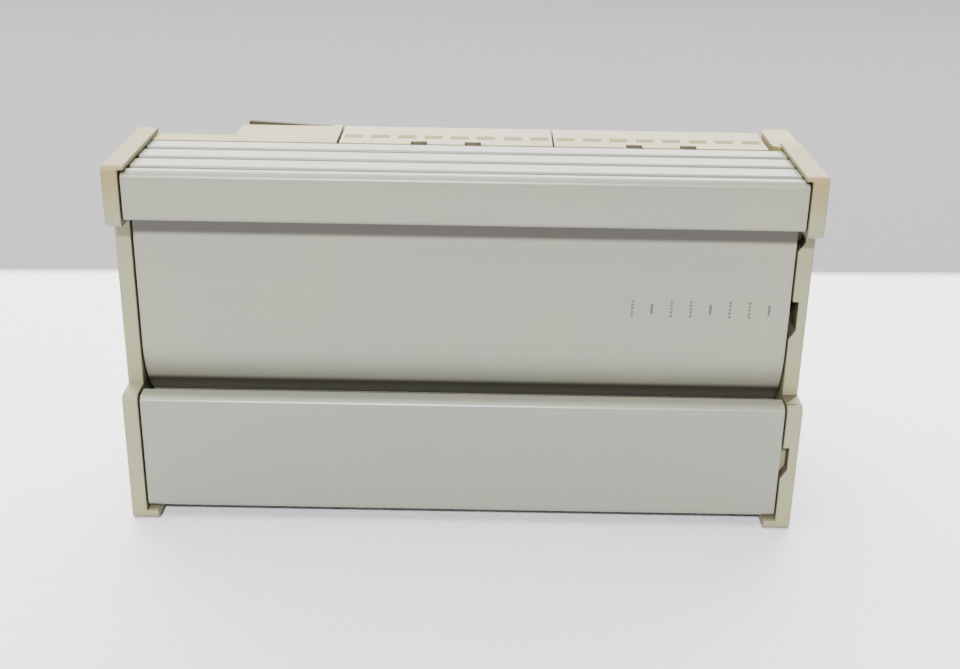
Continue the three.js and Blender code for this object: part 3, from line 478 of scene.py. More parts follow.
@dataclass(frozen=True)
class Plastic:
    """A moulded or extruded plastic with uneven ageing, fine grain, dust and painted shade in its corners and specks
    of dirt.
    """

    name: str
    colour: str
    aged: str
    roughness: float = 0.45
    ageing_mm: float = 28
    grain_mm: float = 0.35
    grain_depth_mm: float = 0.01
    draw_ratio: float = 1
    speck_mm: float = 11
    speck_size: float = 0.018
    speck_colour: str = "#6b5638"
    # crevice: colour of the dust and painted shade that ambient occlusion lays in corners and recesses.
    crevice: str = "#5d5646"
    crevice_mm: float = 1.2
    crevice_strength: float = 0.75
    crevice_open: float = 0.75
    stains: tuple[Stain, ...] = ()
    bands: tuple[Band, ...] = ()
    soft_edge_mm: float = 0
    refraction: float = 1.53

    def build(self) -> bpy.types.Material:
        """Makes the material."""
        material, tree, surface = new_material(self.name)
        place = add_node(tree, "TexCoord").outputs["Object"]
        drawn = add_node(tree, "Mapping", {"Vector": place, "Scale": (1 / self.draw_ratio, 1, 1)}).outputs[0]
        clouds = noise(tree, place, self.ageing_mm, 5, 0.6)
        colour = mix(tree, ramp(tree, clouds, 0, 1, 0.38, 0.72), linear(self.colour), linear(self.aged))
        streaks = ramp(tree, noise(tree, drawn, self.grain_mm * 6, 4), 0.965, 1.03)
        colour = mix(tree, 1.0, colour, streaks, "MULTIPLY")
        split = add_node(tree, "SeparateXYZ", {0: place}).outputs
        for band in self.bands:
            amount = ramp(tree, split["Z"], 0, band.strength, band.start * MM, band.full * MM, smooth=True)
            side = "LESS_THAN" if band.full > band.start else "GREATER_THAN"
            for inside in (
                arithmetic(tree, side, split["Z"], band.end * MM),
                arithmetic(tree, "GREATER_THAN", split["Y"], band.behind * MM),
            ):
                amount = arithmetic(tree, "MULTIPLY", amount, inside)
            colour = mix(tree, amount, colour, linear(band.colour))
        for stain in self.stains:
            centre = tuple(c * MM for c in stain.centre)
            gap = add_node(tree, "VectorMath", {0: place, 1: centre}, operation="DISTANCE").outputs["Value"]
            near = ramp(tree, gap, stain.strength, 0, 0, stain.radius * MM, smooth=True)
            uneven = arithmetic(tree, "MULTIPLY", near, clouds)
            colour = mix(tree, arithmetic(tree, "MULTIPLY", uneven, 1.8, clamp=True), colour, linear(stain.colour))
        colour = mix(tree, self.specks(tree, place), colour, linear(self.speck_colour))
        # Dust and painted shade: ambient occlusion darkens corners, creases and recesses towards the crevice colour.
        hollow = add_node(tree, "AmbientOcclusion", {"Distance": self.crevice_mm * MM}, samples=6).outputs["AO"]
        dust_and_shade = ramp(tree, hollow, self.crevice_strength, 0, 0.1, self.crevice_open)
        colour = mix(tree, dust_and_shade, colour, linear(self.crevice))
        sheen = ramp(tree, clouds, self.roughness - 0.06, self.roughness + 0.08)
        feed(tree, surface, {"Base Color": colour, "Roughness": sheen, "IOR": self.refraction})
        bump = add_bump(tree, surface, noise(tree, drawn, self.grain_mm, 3), 0.6, self.grain_depth_mm)
        if self.soft_edge_mm:
            rounded = add_node(tree, "Bevel", {"Radius": self.soft_edge_mm * MM}, samples=4)
            feed(tree, bump, {"Normal": rounded.outputs[0]})
        return material

    def specks(self, tree: bpy.types.NodeTree, place: bpy.types.NodeSocket) -> bpy.types.NodeSocket:
        """How strongly a speck of dirt covers a place: some cells of a grid hold one, with a ragged outline."""
        cells = add_node(tree, "TexVoronoi", {"Vector": place, "Scale": per_metre(self.speck_mm)}).outputs
        edge = arithmetic(tree, "MULTIPLY", noise(tree, place, 0.9, 2), 2 * self.speck_size)
        chance = add_node(tree, "SeparateColor", {0: cells["Color"]}).outputs[0]
        size = arithmetic(tree, "MULTIPLY", edge, chance)
        inside = arithmetic(tree, "LESS_THAN", cells["Distance"], size)
        speck = arithmetic(tree, "MULTIPLY", inside, arithmetic(tree, "GREATER_THAN", chance, 0.45))
        return arithmetic(tree, "MULTIPLY", speck, 0.7)


@dataclass(frozen=True)
class Metal:
    """A drawn, plated or turned metal with fine scratches along one row axis and a little tarnish."""

    name: str
    colour: str
    tarnish: str
    roughness: float = 0.3
    scratch_mm: float = 0.12
    tarnish_mm: float = 2.4
    stretch: Point = (1, 1, 12)

    def build(self) -> bpy.types.Material:
        """Makes the material."""
        material, tree, surface = new_material(self.name)
        place = add_node(tree, "TexCoord").outputs["Object"]
        scale = tuple(1 / s for s in self.stretch)
        along = add_node(tree, "Mapping", {"Vector": place, "Scale": scale}).outputs[0]
        scratch = noise(tree, along, self.scratch_mm, 3)
        dull = ramp(tree, noise(tree, place, self.tarnish_mm, 3), 0, 0.7, 0.45, 0.75)
        colour = mix(tree, dull, linear(self.colour), linear(self.tarnish))
        rough = ramp(tree, scratch, self.roughness - 0.08, self.roughness + 0.14)
        feed(tree, surface, {"Base Color": colour, "Roughness": rough, "Metallic": 1})
        add_bump(tree, surface, scratch, 0.3, 0.004)
        return material


@dataclass(frozen=True)
class Laminate:
    """Glass-fibre board under green solder resist, with copper tracks showing through as lighter bands."""

    name: str = "fr4_green_solder_resist"
    resist: str = "#1f5a34"
    over_copper: str = "#2f7a48"
    track_mm: float = 2.6
    weave_mm: float = 0.7
    refraction: float = 1.5

    def build(self) -> bpy.types.Material:
        """Makes the material."""
        material, tree, surface = new_material(self.name)
        place = add_node(tree, "TexCoord").outputs["Object"]
        layout = {
            "Vector": add_node(tree, "Mapping", {"Vector": place, "Rotation": (math.pi / 2, 0, 0)}).outputs[0],
            "Color1": (0, 0, 0, 1),
            "Color2": (0.25, 0.25, 0.25, 1),
            "Mortar": (1, 1, 1, 1),
            "Scale": per_metre(self.track_mm),
            "Mortar Size": 0.12,
            "Brick Width": 3.5,
            "Row Height": 1.0,
        }
        tracks = add_node(tree, "TexBrick", layout).outputs["Color"]
        rough = ramp(tree, noise(tree, place, self.weave_mm, 2), 0.22, 0.42)
        colour = mix(tree, tracks, linear(self.resist), linear(self.over_copper))
        feed(tree, surface, {"Base Color": colour, "Roughness": rough, "IOR": self.refraction})
        add_bump(tree, surface, tracks, 0.5, 0.03)
        return material


@dataclass(frozen=True)
class Acrylic:
    """Clear moulded acrylic with faint flow lines that vary its tint and gloss."""

    name: str = "clear_moulded_acrylic"
    colour: str = "#e4ebe6"
    hazed: str = "#c9d6cf"
    flow_mm: float = 3
    refraction: float = 1.49
    clearness: float = 0.55

    def build(self) -> bpy.types.Material:
        """Makes the material."""
        material, tree, surface = new_material(self.name)
        flow = noise(tree, add_node(tree, "TexCoord").outputs["Object"], self.flow_mm, 2)
        colour = mix(tree, flow, linear(self.colour), linear(self.hazed))
        feed(tree, surface, {"Base Color": colour, "Roughness": ramp(tree, flow, 0.12, 0.4)})
        feed(tree, surface, {"IOR": self.refraction, "Transmission Weight": self.clearness})
        add_bump(tree, surface, flow, 0.25, 0.02)
        return material


def new_material(name: str) -> tuple[bpy.types.Material, bpy.types.NodeTree, bpy.types.Node]:
    """An empty node material.

    Args:
        name: Name of the material.

    Returns:
        The material, its tree and its surface shader, which is joined to the output.
    """
    material = bpy.data.materials.new(name)
    material.use_nodes = True
    tree = material.node_tree
    tree.nodes.clear()
    surface = add_node(tree, "BsdfPrincipled")
    add_node(tree, "OutputMaterial", {"Surface": surface.outputs[0]})
    return material, tree, surface


def mix(
    tree: bpy.types.NodeTree, factor: object, under: object, over: object, blend: str = "MIX"
) -> bpy.types.NodeSocket:
    """Mixes two colours, each a value or a socket, and gives the mixed colour's socket."""
    node = add_node(tree, "Mix", data_type="RGBA", blend_type=blend)
    for socket, value in ((node.inputs[0], factor), (node.inputs[6], under), (node.inputs[7], over)):
        if isinstance(value, bpy.types.NodeSocket):
            tree.links.new(value, socket)
        else:
            socket.default_value = value
    return node.outputs[2]


class Palette:
    """Every finish of the module, built once."""

    def __init__(self) -> None:
        """Builds the materials."""
        low, high = node_box("right_end_cap")
        left, _ = node_box("left_end_cap")
        lip = Housing().low[2] + Housing().upper_tier_bottom
        ledge = Housing().low[2] + Housing().lower_tier_top
        pink = "#8f7553"
        # Extruded rigid PVC: a cool light grey with a satin face, faint draw lines and brown specks.
        self.housing = Plastic(
            "extruded_grey_pvc", "#818375", "#858472", 0.33, grain_mm=0.3, draw_ratio=14, ageing_mm=34,
            grain_depth_mm=0.006, speck_mm=13, crevice="#332d20", crevice_mm=1.3,
            bands=(
                # Painted shadow: a dark strip on the channel wall just under the upper lip, where the lip's shadow
                # falls.
                Band(lip - 4.4, lip - 3.4, lip + 0.05, "#2e240e", 0.86),
                # Painted shade: the curved foot of the channel wall, in the slot behind the lower lip, darkens to
                # near black.
                Band(ledge + 1.7, ledge + 0.3, ledge - 6, "#241f14", 0.9, Housing().low[1] + 4.1),
                Band(ledge + 1, ledge - 3, low[2] - 1, "#7a7b70", 0.6),
            ),
        ).build()
        # Moulded ABS, yellowed: cream with a warmer, pinker tone where hands and light reach the corners.
        self.cap = Plastic(
            "moulded_cream_abs", "#848666", "#8a8562", 0.5, grain_mm=0.28, grain_depth_mm=0.012, soft_edge_mm=0.5,
            stains=(
                Stain((high[0], low[1], high[2]), 9, pink, 0.85),
                Stain((left[0], low[1], high[2]), 11, pink, 0.6),
                Stain((high[0], high[1] * 0.2, high[2]), 14, "#b8a478", 0.6),
                Stain((left[0], low[1], left[2]), 6, "#8d7a52", 0.35),
                Stain((high[0], low[1], left[2]), 7, "#8d7a52", 0.35),
            ),
            bands=(Band(high[2] - 9, high[2] - 0.4, high[2] + 9, "#7d7338", 0.85),),
        ).build()
        # The same resin on the cover, less aged because the wiring duct shades it.
        self.cover = Plastic(
            "moulded_cream_abs_cover", "#998b56", "#988353", 0.5, grain_mm=0.28, grain_depth_mm=0.012,
            soft_edge_mm=0.3,
        ).build()
        # Door: dark olive-brown ABS, evenly tinted.
        self.door = Plastic(
            "dark_olive_abs_door", "#3f3a2a", "#453f2b", 0.62, grain_depth_mm=0.004, crevice="#2b271c"
        ).build()
        # Painted shade in the coding slots and snap pockets: brown-grey, dull.
        self.recess_shade = Plastic("painted_recess_shade", "#5a523d", "#4b4432", 0.8, ageing_mm=2, crevice="#1c1a14").build()
        # Polyamide terminal bodies: paler and a little glossier than the ABS beside them.
        self.terminal = Plastic(
            "moulded_polyamide", "#968e65", "#938759", 0.42, grain_mm=0.5, grain_depth_mm=0.006, speck_mm=15
        ).build()
        # Glass-filled polyester: near black, evenly dull.
        self.black = Plastic(
            "black_polyester", "#1d1e1f", "#262625", 0.48, speck_colour="#4a4742", crevice="#101010",
            grain_depth_mm=0.008,
        ).build()
        # Natural nylon: milky, slightly waxy.
        self.nylon = Plastic("natural_nylon", "#dcd8cb", "#d6cfb8", 0.38, grain_depth_mm=0.004).build()
        # Relay case: glossy blue polyester.
        self.relay = Plastic(
            "relay_case_polyester", "#24406b", "#2a456c", 0.3, crevice="#101820", grain_depth_mm=0.003
        ).build()
        # Printed polyester film: pale grey, slightly glossy.
        self.film = Plastic("polyester_label_film", "#d7d8d3", "#d3d2c6", 0.34, grain_depth_mm=0.002).build()
        # Ink of the date mark and of the label: dark, matt and slightly broken.
        self.ink = Plastic("marking_ink", "#4a4a48", "#5e5d59", 0.7, ageing_mm=1.2, crevice_strength=0).build()
        # Heat-shrunk sleeve of a capacitor: blue-black and glossy.
        self.sleeve = Plastic(
            "capacitor_shrink_sleeve", "#1c2230", "#232a38", 0.28, crevice="#0c0e14", grain_depth_mm=0.003
        ).build()
        # Sintered ferrite: dark grey, dull, slightly coarse.
        self.ferrite = Plastic(
            "sintered_ferrite", "#2b2a29", "#35332f", 0.62, grain_mm=0.5, grain_depth_mm=0.03, crevice="#151413"
        ).build()
        # Polyester tape over the windings: warm yellow with a shine.
        self.tape = Plastic("winding_tape", "#c79a2e", "#b98a26", 0.3, crevice="#5d4413").build()
        self.laminate = Laminate().build()
        self.acrylic = Acrylic().build()
        # Zinc-plated steel: bluish bright, dulled in spots.
        self.steel = Metal("zinc_plated_steel", "#b9bec2", "#8f8d86", 0.3).build()
        # Tinned brass pins: soft white shine.
        self.tin = Metal("tinned_brass", "#c9c8c2", "#a9a699", 0.28, stretch=(1, 8, 1)).build()
        # Spring wire: bright grey drawn steel.
        self.spring = Metal("drawn_spring_steel", "#9fa3a6", "#77756f", 0.25, stretch=(1, 1, 1)).build()
        # Aluminium can end: pale and finely spun.
        self.can = Metal("spun_aluminium", "#d3d5d6", "#b4b4b0", 0.32, stretch=(1, 1, 1)).build()


# ---- Sub-assemblies ----------------------------------------------------------------------------------


@dataclass
class Housing:
    """The extruded housing, whose section is computed with true arcs, and the mark on its channel wall.

    The section's sizes are in millimetres. Its length, height and depth come from the CAD node.
    """

    wall: float = 2
    edge_radius: float = 1.5
    lip_radius: float = 0.9
    lip_thickness: float = 4
    channel_depth: float = 5.4
    curve_radius: float = 16
    channel_floor: float = 20.3
    curve_height: float = 11.7
    lower_tier_top: float = 23.3
    upper_tier_bottom: float = 57.4
    channel_roof: float = 58
    roof_fillet: float = 1
    groove_width: float = 1.5
    groove_depth: float = 1
    groove_first: float = 3.5
    groove_pitch: float = 6.5
    groove_count: int = 3
    ledge: float = 1.5
    ledge_front: float = 13.7
    tick_count: int = 8

    def __post_init__(self) -> None:
        """Reads the overall sizes from the CAD node."""
        self.low, self.high = node_box("profile_trough")
        self.depth = self.high[1] - self.low[1]
        self.height = self.high[2] - self.low[2]

    def grooved_edge(self, z: float, inward: int) -> Array:
        """Half of one long side's outside, from its back corner to its front, with its grooves."""
        turn = 90 if inward > 0 else -90
        centre = (self.edge_radius, z + inward * self.edge_radius)
        corner = fillet(centre, 180, self.edge_radius, 8, turn)
        middles = self.groove_first + self.groove_pitch * np.arange(self.groove_count)
        half, floor, soft = self.groove_width / 2, z + inward * self.groove_depth, 0.25
        step = np.array([[-half - soft, z], [-half, z + inward * soft], [-half, floor], [half, floor]])
        step = np.vstack([step, [[half, z + inward * soft], [half + soft, z]]])
        grooves = (step[None] + np.column_stack([middles, 0 * middles])[:, None]).reshape(-1, 2)
        return np.vstack([corner, grooves, [[self.depth, z]]])

    def ledged_wall(self, z: float, inward: int) -> Array:
        """One long side's inside, from its front to its back, with the ledge that the board rests on."""
        wall = z + inward * self.wall
        ledge = wall + inward * self.ledge
        back = self.ledge_front - self.ledge
        return np.array(
            [[self.depth, wall], [self.ledge_front, wall], [self.ledge_front, ledge], [back, ledge], [back, wall],
             [self.wall, wall]]
        )

    def channel_curve(self, inset: float, end_z: float) -> Array:
        """The arc by which the channel's wall falls back, from the top down: centre - r (cos a, sin a)."""
        radius = self.curve_radius - inset
        centre = np.array([self.channel_depth + self.curve_radius, self.channel_floor + self.curve_height])
        angle = np.linspace(0, math.asin((centre[1] - end_z) / radius), 17)
        return centre - radius * np.column_stack([np.cos(angle), np.sin(angle)])

    def section(self) -> Array:
        """The closed (y, z) outline, measured from the housing's lower back corner."""
        lip, roof, wall = self.lip_thickness, self.channel_roof, self.wall
        inner = self.channel_curve(wall, self.channel_floor + wall / 2)
        upper = fillet((self.lip_radius, self.upper_tier_bottom + self.lip_radius), 180, self.lip_radius, 6)
        lower = fillet(
            (self.edge_radius, self.lower_tier_top - self.edge_radius), 90, self.edge_radius, 8
        )
        soft = 0.3
        return np.vstack([
            self.grooved_edge(0, 1),
            self.ledged_wall(0, 1),
            [[wall, self.channel_floor - wall], [inner[-1, 0], self.channel_floor - wall]],
            inner[::-1],
            [[self.channel_depth + wall, roof + wall], [wall, roof + wall]],
            self.ledged_wall(self.height, -1)[::-1],
            self.grooved_edge(self.height, -1)[::-1],
            upper,
            [[lip, self.upper_tier_bottom], [lip, roof]],
            fillet((self.channel_depth - self.roof_fillet, roof - self.roof_fillet), 90, self.roof_fillet, 6, -90),
            self.channel_curve(0, self.channel_floor),
            [[lip, self.channel_floor], [lip, self.lower_tier_top - soft], [lip - soft, self.lower_tier_top]],
            lower,
        ])

    def build(self, palette: Palette) -> None:
        """Makes the extrusion, cuts the pads' slots in it, and prints the mark."""
        stations = np.linspace(self.low[0], self.high[0], 41)
        surface = swept_along_x(self.section(), stations).moved((0, self.low[1], self.low[2]))
        trough = piece_from("profile_extrusion", surface, palette.housing, "housing")
        self.cut_slots(trough)
        add_bevel(trough, 0.12, 2)
        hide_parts("profile_trough")
        self.print_mark(palette)

    def cut_slots(self, trough: bpy.types.Object) -> None:
        """Cuts the slots in the channel's floor that the rail pads stand in."""
        for pad in ("rail_pad_left", "rail_pad_right"):
            low, high = node_box(pad)
            inset, room = 1.5, 0.2
            tip = np.array([low[0] + inset - room, self.low[1] + 4.3 - room, self.low[2] + self.channel_floor - 2.5])
            end = np.array([high[0] - inset + room, self.low[1] + 5.1 + room, self.low[2] + self.channel_floor + 0.5])
            mesh = bpy.data.meshes.new(pad + "_slot")
            slot = bars(tip, end)
            mesh.from_pydata((slot.points * MM).tolist(), [], slot.faces)
            cutter = bpy.data.objects.new(pad + "_slot", mesh)
            bpy.context.scene.collection.objects.link(cutter)
            modifier = trough.modifiers.new("slot", "BOOLEAN")
            modifier.operation = "DIFFERENCE"
            modifier.object = cutter
            bake_modifiers(trough)
            bpy.data.objects.remove(cutter)

    def print_mark(self, palette: Palette) -> None:
        """Prints a row of plain ticks where a date mark goes: short dot-row bars with no meaning."""
        wall = self.low[1] + self.channel_depth
        first, pitch, z = self.high[0] - 29, 3.6, self.low[2] + 40.5
        count = self.tick_count
        x = first + pitch * np.arange(count)
        height = np.where(np.arange(count) % 3 == 1, 1.6, 2.8)
        dots = np.arange(5)
        centre_x = np.repeat(x, len(dots))
        centre_z = z + (np.repeat(height, len(dots)) * (np.tile(dots, count) / (len(dots) - 1) - 0.5))
        half = np.array([0.22, 0.0, 0.2])
        middle = np.column_stack([centre_x, np.full(len(centre_x), wall), centre_z])
        ink = bars(middle - half - [0, 0.04, 0], middle + half)
        marks = piece_from("date_ticks", ink, palette.ink, "housing")
        add_bevel(marks, 0.02, 1)


def bake_modifiers(piece: bpy.types.Object) -> None:
    """Puts a piece's modifiers into its mesh."""
    bpy.context.view_layer.update()
    shaped = piece.evaluated_get(bpy.context.evaluated_depsgraph_get())
    mesh = bpy.data.meshes.new_from_object(shaped)
    piece.modifiers.clear()
    piece.data = mesh
    smooth_by_angle(mesh)


@dataclass
class Shell:
    """The moulded shell: end caps, front cover, door and label."""

    door_edge: float = 0.2
    cap_thickness: float = 2.8
    pocket_depth: float = 1.1
    stripe_count: int = 16

    def build(self, palette: Palette) -> None:
        """Makes the shell's pieces."""
        refined("left_end_cap", palette.cap, 0, merge=False)
        right = refined("right_end_cap", palette.cap, 0, merge=False)
        self.darken_pockets(right, palette)
        refined("front_cover", palette.cover, 0, merge=False)
        refined("port_flap", palette.door, self.door_edge, 2)
        refined("label_plate", palette.film, 0.12, 1)
        self.rule_label(palette)
        for node in ("light_guide_top", "light_guide_bottom", "status_guide"):
            refined(node, palette.acrylic, 0.15, 2)

    def darken_pockets(self, cap: bpy.types.Object, palette: Palette) -> None:
        """Paints shade on the walls of the cap's snap pockets, which are the inward faces a pocket's depth in."""
        centre = face_centres(cap)
        low, high = node_box("right_end_cap")
        inner = high[0] - self.cap_thickness
        deep = (centre[:, 0] > inner + 0.2) & (centre[:, 0] < inner + self.pocket_depth + 0.05)
        shallow = (centre[:, 1] < low[1] + 12) & (centre[:, 2] > low[2] + 8) & (centre[:, 2] < high[2] - 9)
        normals = np.empty(len(cap.data.polygons) * 3)
        cap.data.polygons.foreach_get("normal", normals)
        facing_camera_side = normals.reshape(-1, 3)[:, 1] < -0.3
        paint_faces(cap, palette.recess_shade, deep & shallow & ~facing_camera_side)

    def rule_label(self, palette: Palette) -> None:
        """Prints writing-on boxes on the label: a frame, one upright line per terminal, and a middle line."""
        low, high = node_box("label_plate")
        front, line, inset = high[1], 0.12, 1.0
        x = np.linspace(low[0] + inset, high[0] - inset, self.stripe_count + 1)
        z0, z1, middle = low[2] + inset, high[2] - inset, (low[2] + high[2]) / 2
        upright_low = np.column_stack([x - line, np.full(len(x), front - 0.05), np.full(len(x), z0)])
        upright_high = np.column_stack([x + line, np.full(len(x), front), np.full(len(x), z1)])
        level = np.array([z0, middle, z1])
        level_low = np.column_stack([np.full(3, x[0]), np.full(3, front - 0.05), level - line])
        level_high = np.column_stack([np.full(3, x[-1]), np.full(3, front), level + line])
        lines = bars(np.vstack([upright_low, level_low]), np.vstack([upright_high, level_high]))
        piece_from("label_rules", lines.moved((0, 0.02, 0)), palette.ink, "housing")


@dataclass
class Terminals:
    """The pull-off plugs with their screws and clamps, and the pin headers they fit."""

    pitch: float = 5.08
    screw_radius: float = 1.75
    screw_depth: float = 2.2
    plug_edge: float = 0.16
    middle_z: float = 35
    pin_below_face: float = 9
    pin_reach: float = 0.56
    header_margin: float = 1.2
    header_floor_y: float = -8.2
    nose_length: float = 3.8
    slot_width: float = 1.9
    slot_depth: float = 3
    plugs: dict[str, str] = field(
        default_factory=lambda: {
            "plug_top_left": "terminal_top_left",
            "plug_top_right": "terminal_top_right",
            "plug_bottom_left": "terminal_bottom_left",
            "plug_bottom_right": "terminal_bottom_right",
            "power_plug": "terminal_power",
        }
    )

    def build(self, palette: Palette) -> None:
        """Makes every plug and header."""
        for node, body in self.plugs.items():
            plug = refined(node, palette.terminal, self.plug_edge, 2)
            low, high = node_box(node)
            self.darken_coding_slots(plug, low, high, palette)
            x = self.terminal_places(low, high)
            outer = 1 if high[2] > self.middle_z else -1
            face = high[2] if outer > 0 else low[2]
            pin_z = face - outer * self.pin_below_face
            self.add_screws(node, body, x, high[1], pin_z, palette)
            self.add_clamps(node, body, x, face, outer, palette)
        for name in ("header_top_left", "header_top_right", "header_bottom_left", "header_bottom_right"):
            self.add_header(name, palette)
        self.add_header("power_header", palette)

    def terminal_places(self, low: Array, high: Array, margin: float = 0) -> Array:
        """Where the terminals of a row are along x, from its box and what that has beyond the terminals."""
        ways = round((high[0] - low[0] + margin) / self.pitch)
        return (low[0] + high[0]) / 2 + self.pitch * (np.arange(ways) - (ways - 1) / 2)

    def darken_coding_slots(self, plug: bpy.types.Object, low: Array, high: Array, palette: Palette) -> None:
        """Paints shade on the walls of the coding slots, which are the faces inside the slots' depth and width."""
        centre = face_centres(plug)
        back = low[1] + self.nose_length
        outer = np.minimum(abs(high[2] - centre[:, 2]), abs(centre[:, 2] - low[2]))
        inside = (centre[:, 1] > back + 0.05) & (centre[:, 1] < back + self.slot_width + 0.05)
        away_from_ends = np.minimum(high[0] - centre[:, 0], centre[:, 0] - low[0]) > self.pitch / 2
        level = (outer > 0.1) & (outer < self.slot_depth + 0.05)
        paint_faces(plug, palette.recess_shade, inside & away_from_ends & level)

    def screw(self) -> Surface:
        """A cheese-head screw along y, face forward: a turned head, whose slot add_screws cuts."""
        r, depth = self.screw_radius, self.screw_depth
        profile = np.array(
            [[0, -depth], [r * 0.55, -depth], [r * 0.55, -0.9], [r * 0.96, -0.9], [r, -0.8], [r, -0.25],
             [r * 0.86, -0.05], [r * 0.5, 0.0], [0, 0]]
        )
        return turned(profile, 20, Axis.Y)

    def add_screws(self, node: str, body: str, x: Array, front: float, z: float, palette: Palette) -> None:
        """Puts one slotted screw in each screw hole, its slot turned a little differently in each."""
        sunk = 0.9
        places = np.column_stack([x, np.full(len(x), front - sunk), np.full(len(x), z)])
        heads = piece_from(
            f"screws_{node}", self.screw().copied_to(places), palette.steel, body
        )
        turns = np.radians(12 + 47 * np.arange(len(x)) % 90)
        slots = []
        for place, turn in zip(places, turns):
            bar = bars(np.array([-2.2, -0.55, -0.25]), np.array([2.2, 0.4, 0.25]))
            spun = np.column_stack([
                bar.points[:, 0] * np.cos(turn) - bar.points[:, 2] * np.sin(turn),
                bar.points[:, 1],
                bar.points[:, 0] * np.sin(turn) + bar.points[:, 2] * np.cos(turn),
            ])
            slots.append(Surface(spun + place, bar.faces))
        cut_from(heads, merged(slots))
        add_bevel(heads, 0.05, 1)

    def add_clamps(self, node: str, body: str, x: Array, face: float, outer: int, palette: Palette) -> None:
        """Puts the plated clamp cage at the bottom of each wire hole: an open square ring of strip."""
        low, _ = node_box(node)
        y = low[1] + self.nose_length + 4.8
        top, bottom, half, strip = face - outer * 3.4, face - outer * 6.9, 0.86, 0.22
        z0, z1 = min(top, bottom), max(top, bottom)
        walls = []
        for dx, dy, wx, wy in ((-1, 0, strip, half), (1, 0, strip, half), (0, -1, half, strip), (0, 1, half, strip)):
            cx, cy = dx * (half - strip / 2), dy * (half - strip / 2)
            walls.append((np.array([cx - (wx / 2 if dx else wx), cy - (wy / 2 if dy else wy), 0]),
                          np.array([cx + (wx / 2 if dx else wx), cy + (wy / 2 if dy else wy), z1 - z0])))
        ring = bars(np.array([w[0] for w in walls]), np.array([w[1] for w in walls]))
        places = np.column_stack([x, np.full(len(x), y), np.full(len(x), z0)])
        cages = piece_from(f"clamps_{node}", ring.copied_to(places), palette.tin, body)
        add_bevel(cages, 0.05, 1)

    def add_header(self, node: str, palette: Palette) -> None:
        """Refines a header and tins its pins, which are the faces within half a pin of a terminal's middle."""
        piece = refined(node, palette.black, 0.1, 1)
        low, high = node_box(node)
        centre = face_centres(piece)
        off = np.abs(centre[:, :1] - self.terminal_places(low, high, self.header_margin)).min(1)
        level = np.abs(centre[:, 2] - (low[2] + high[2]) / 2)
        on_pin = np.maximum(off, level) < self.pin_reach
        paint_faces(piece, palette.tin, on_pin & (centre[:, 1] > self.header_floor_y))


def cut_from(piece: bpy.types.Object, tool: Surface) -> None:
    """Cuts a surface's inside out of a piece."""
    mesh = bpy.data.meshes.new("tool")
    mesh.from_pydata((tool.points * MM).tolist(), [], tool.faces)
    cutter = bpy.data.objects.new("tool", mesh)
    bpy.context.scene.collection.objects.link(cutter)
    modifier = piece.modifiers.new("cut", "BOOLEAN")
    modifier.operation = "DIFFERENCE"
    modifier.object = cutter
    bake_modifiers(piece)
    bpy.data.objects.remove(cutter)


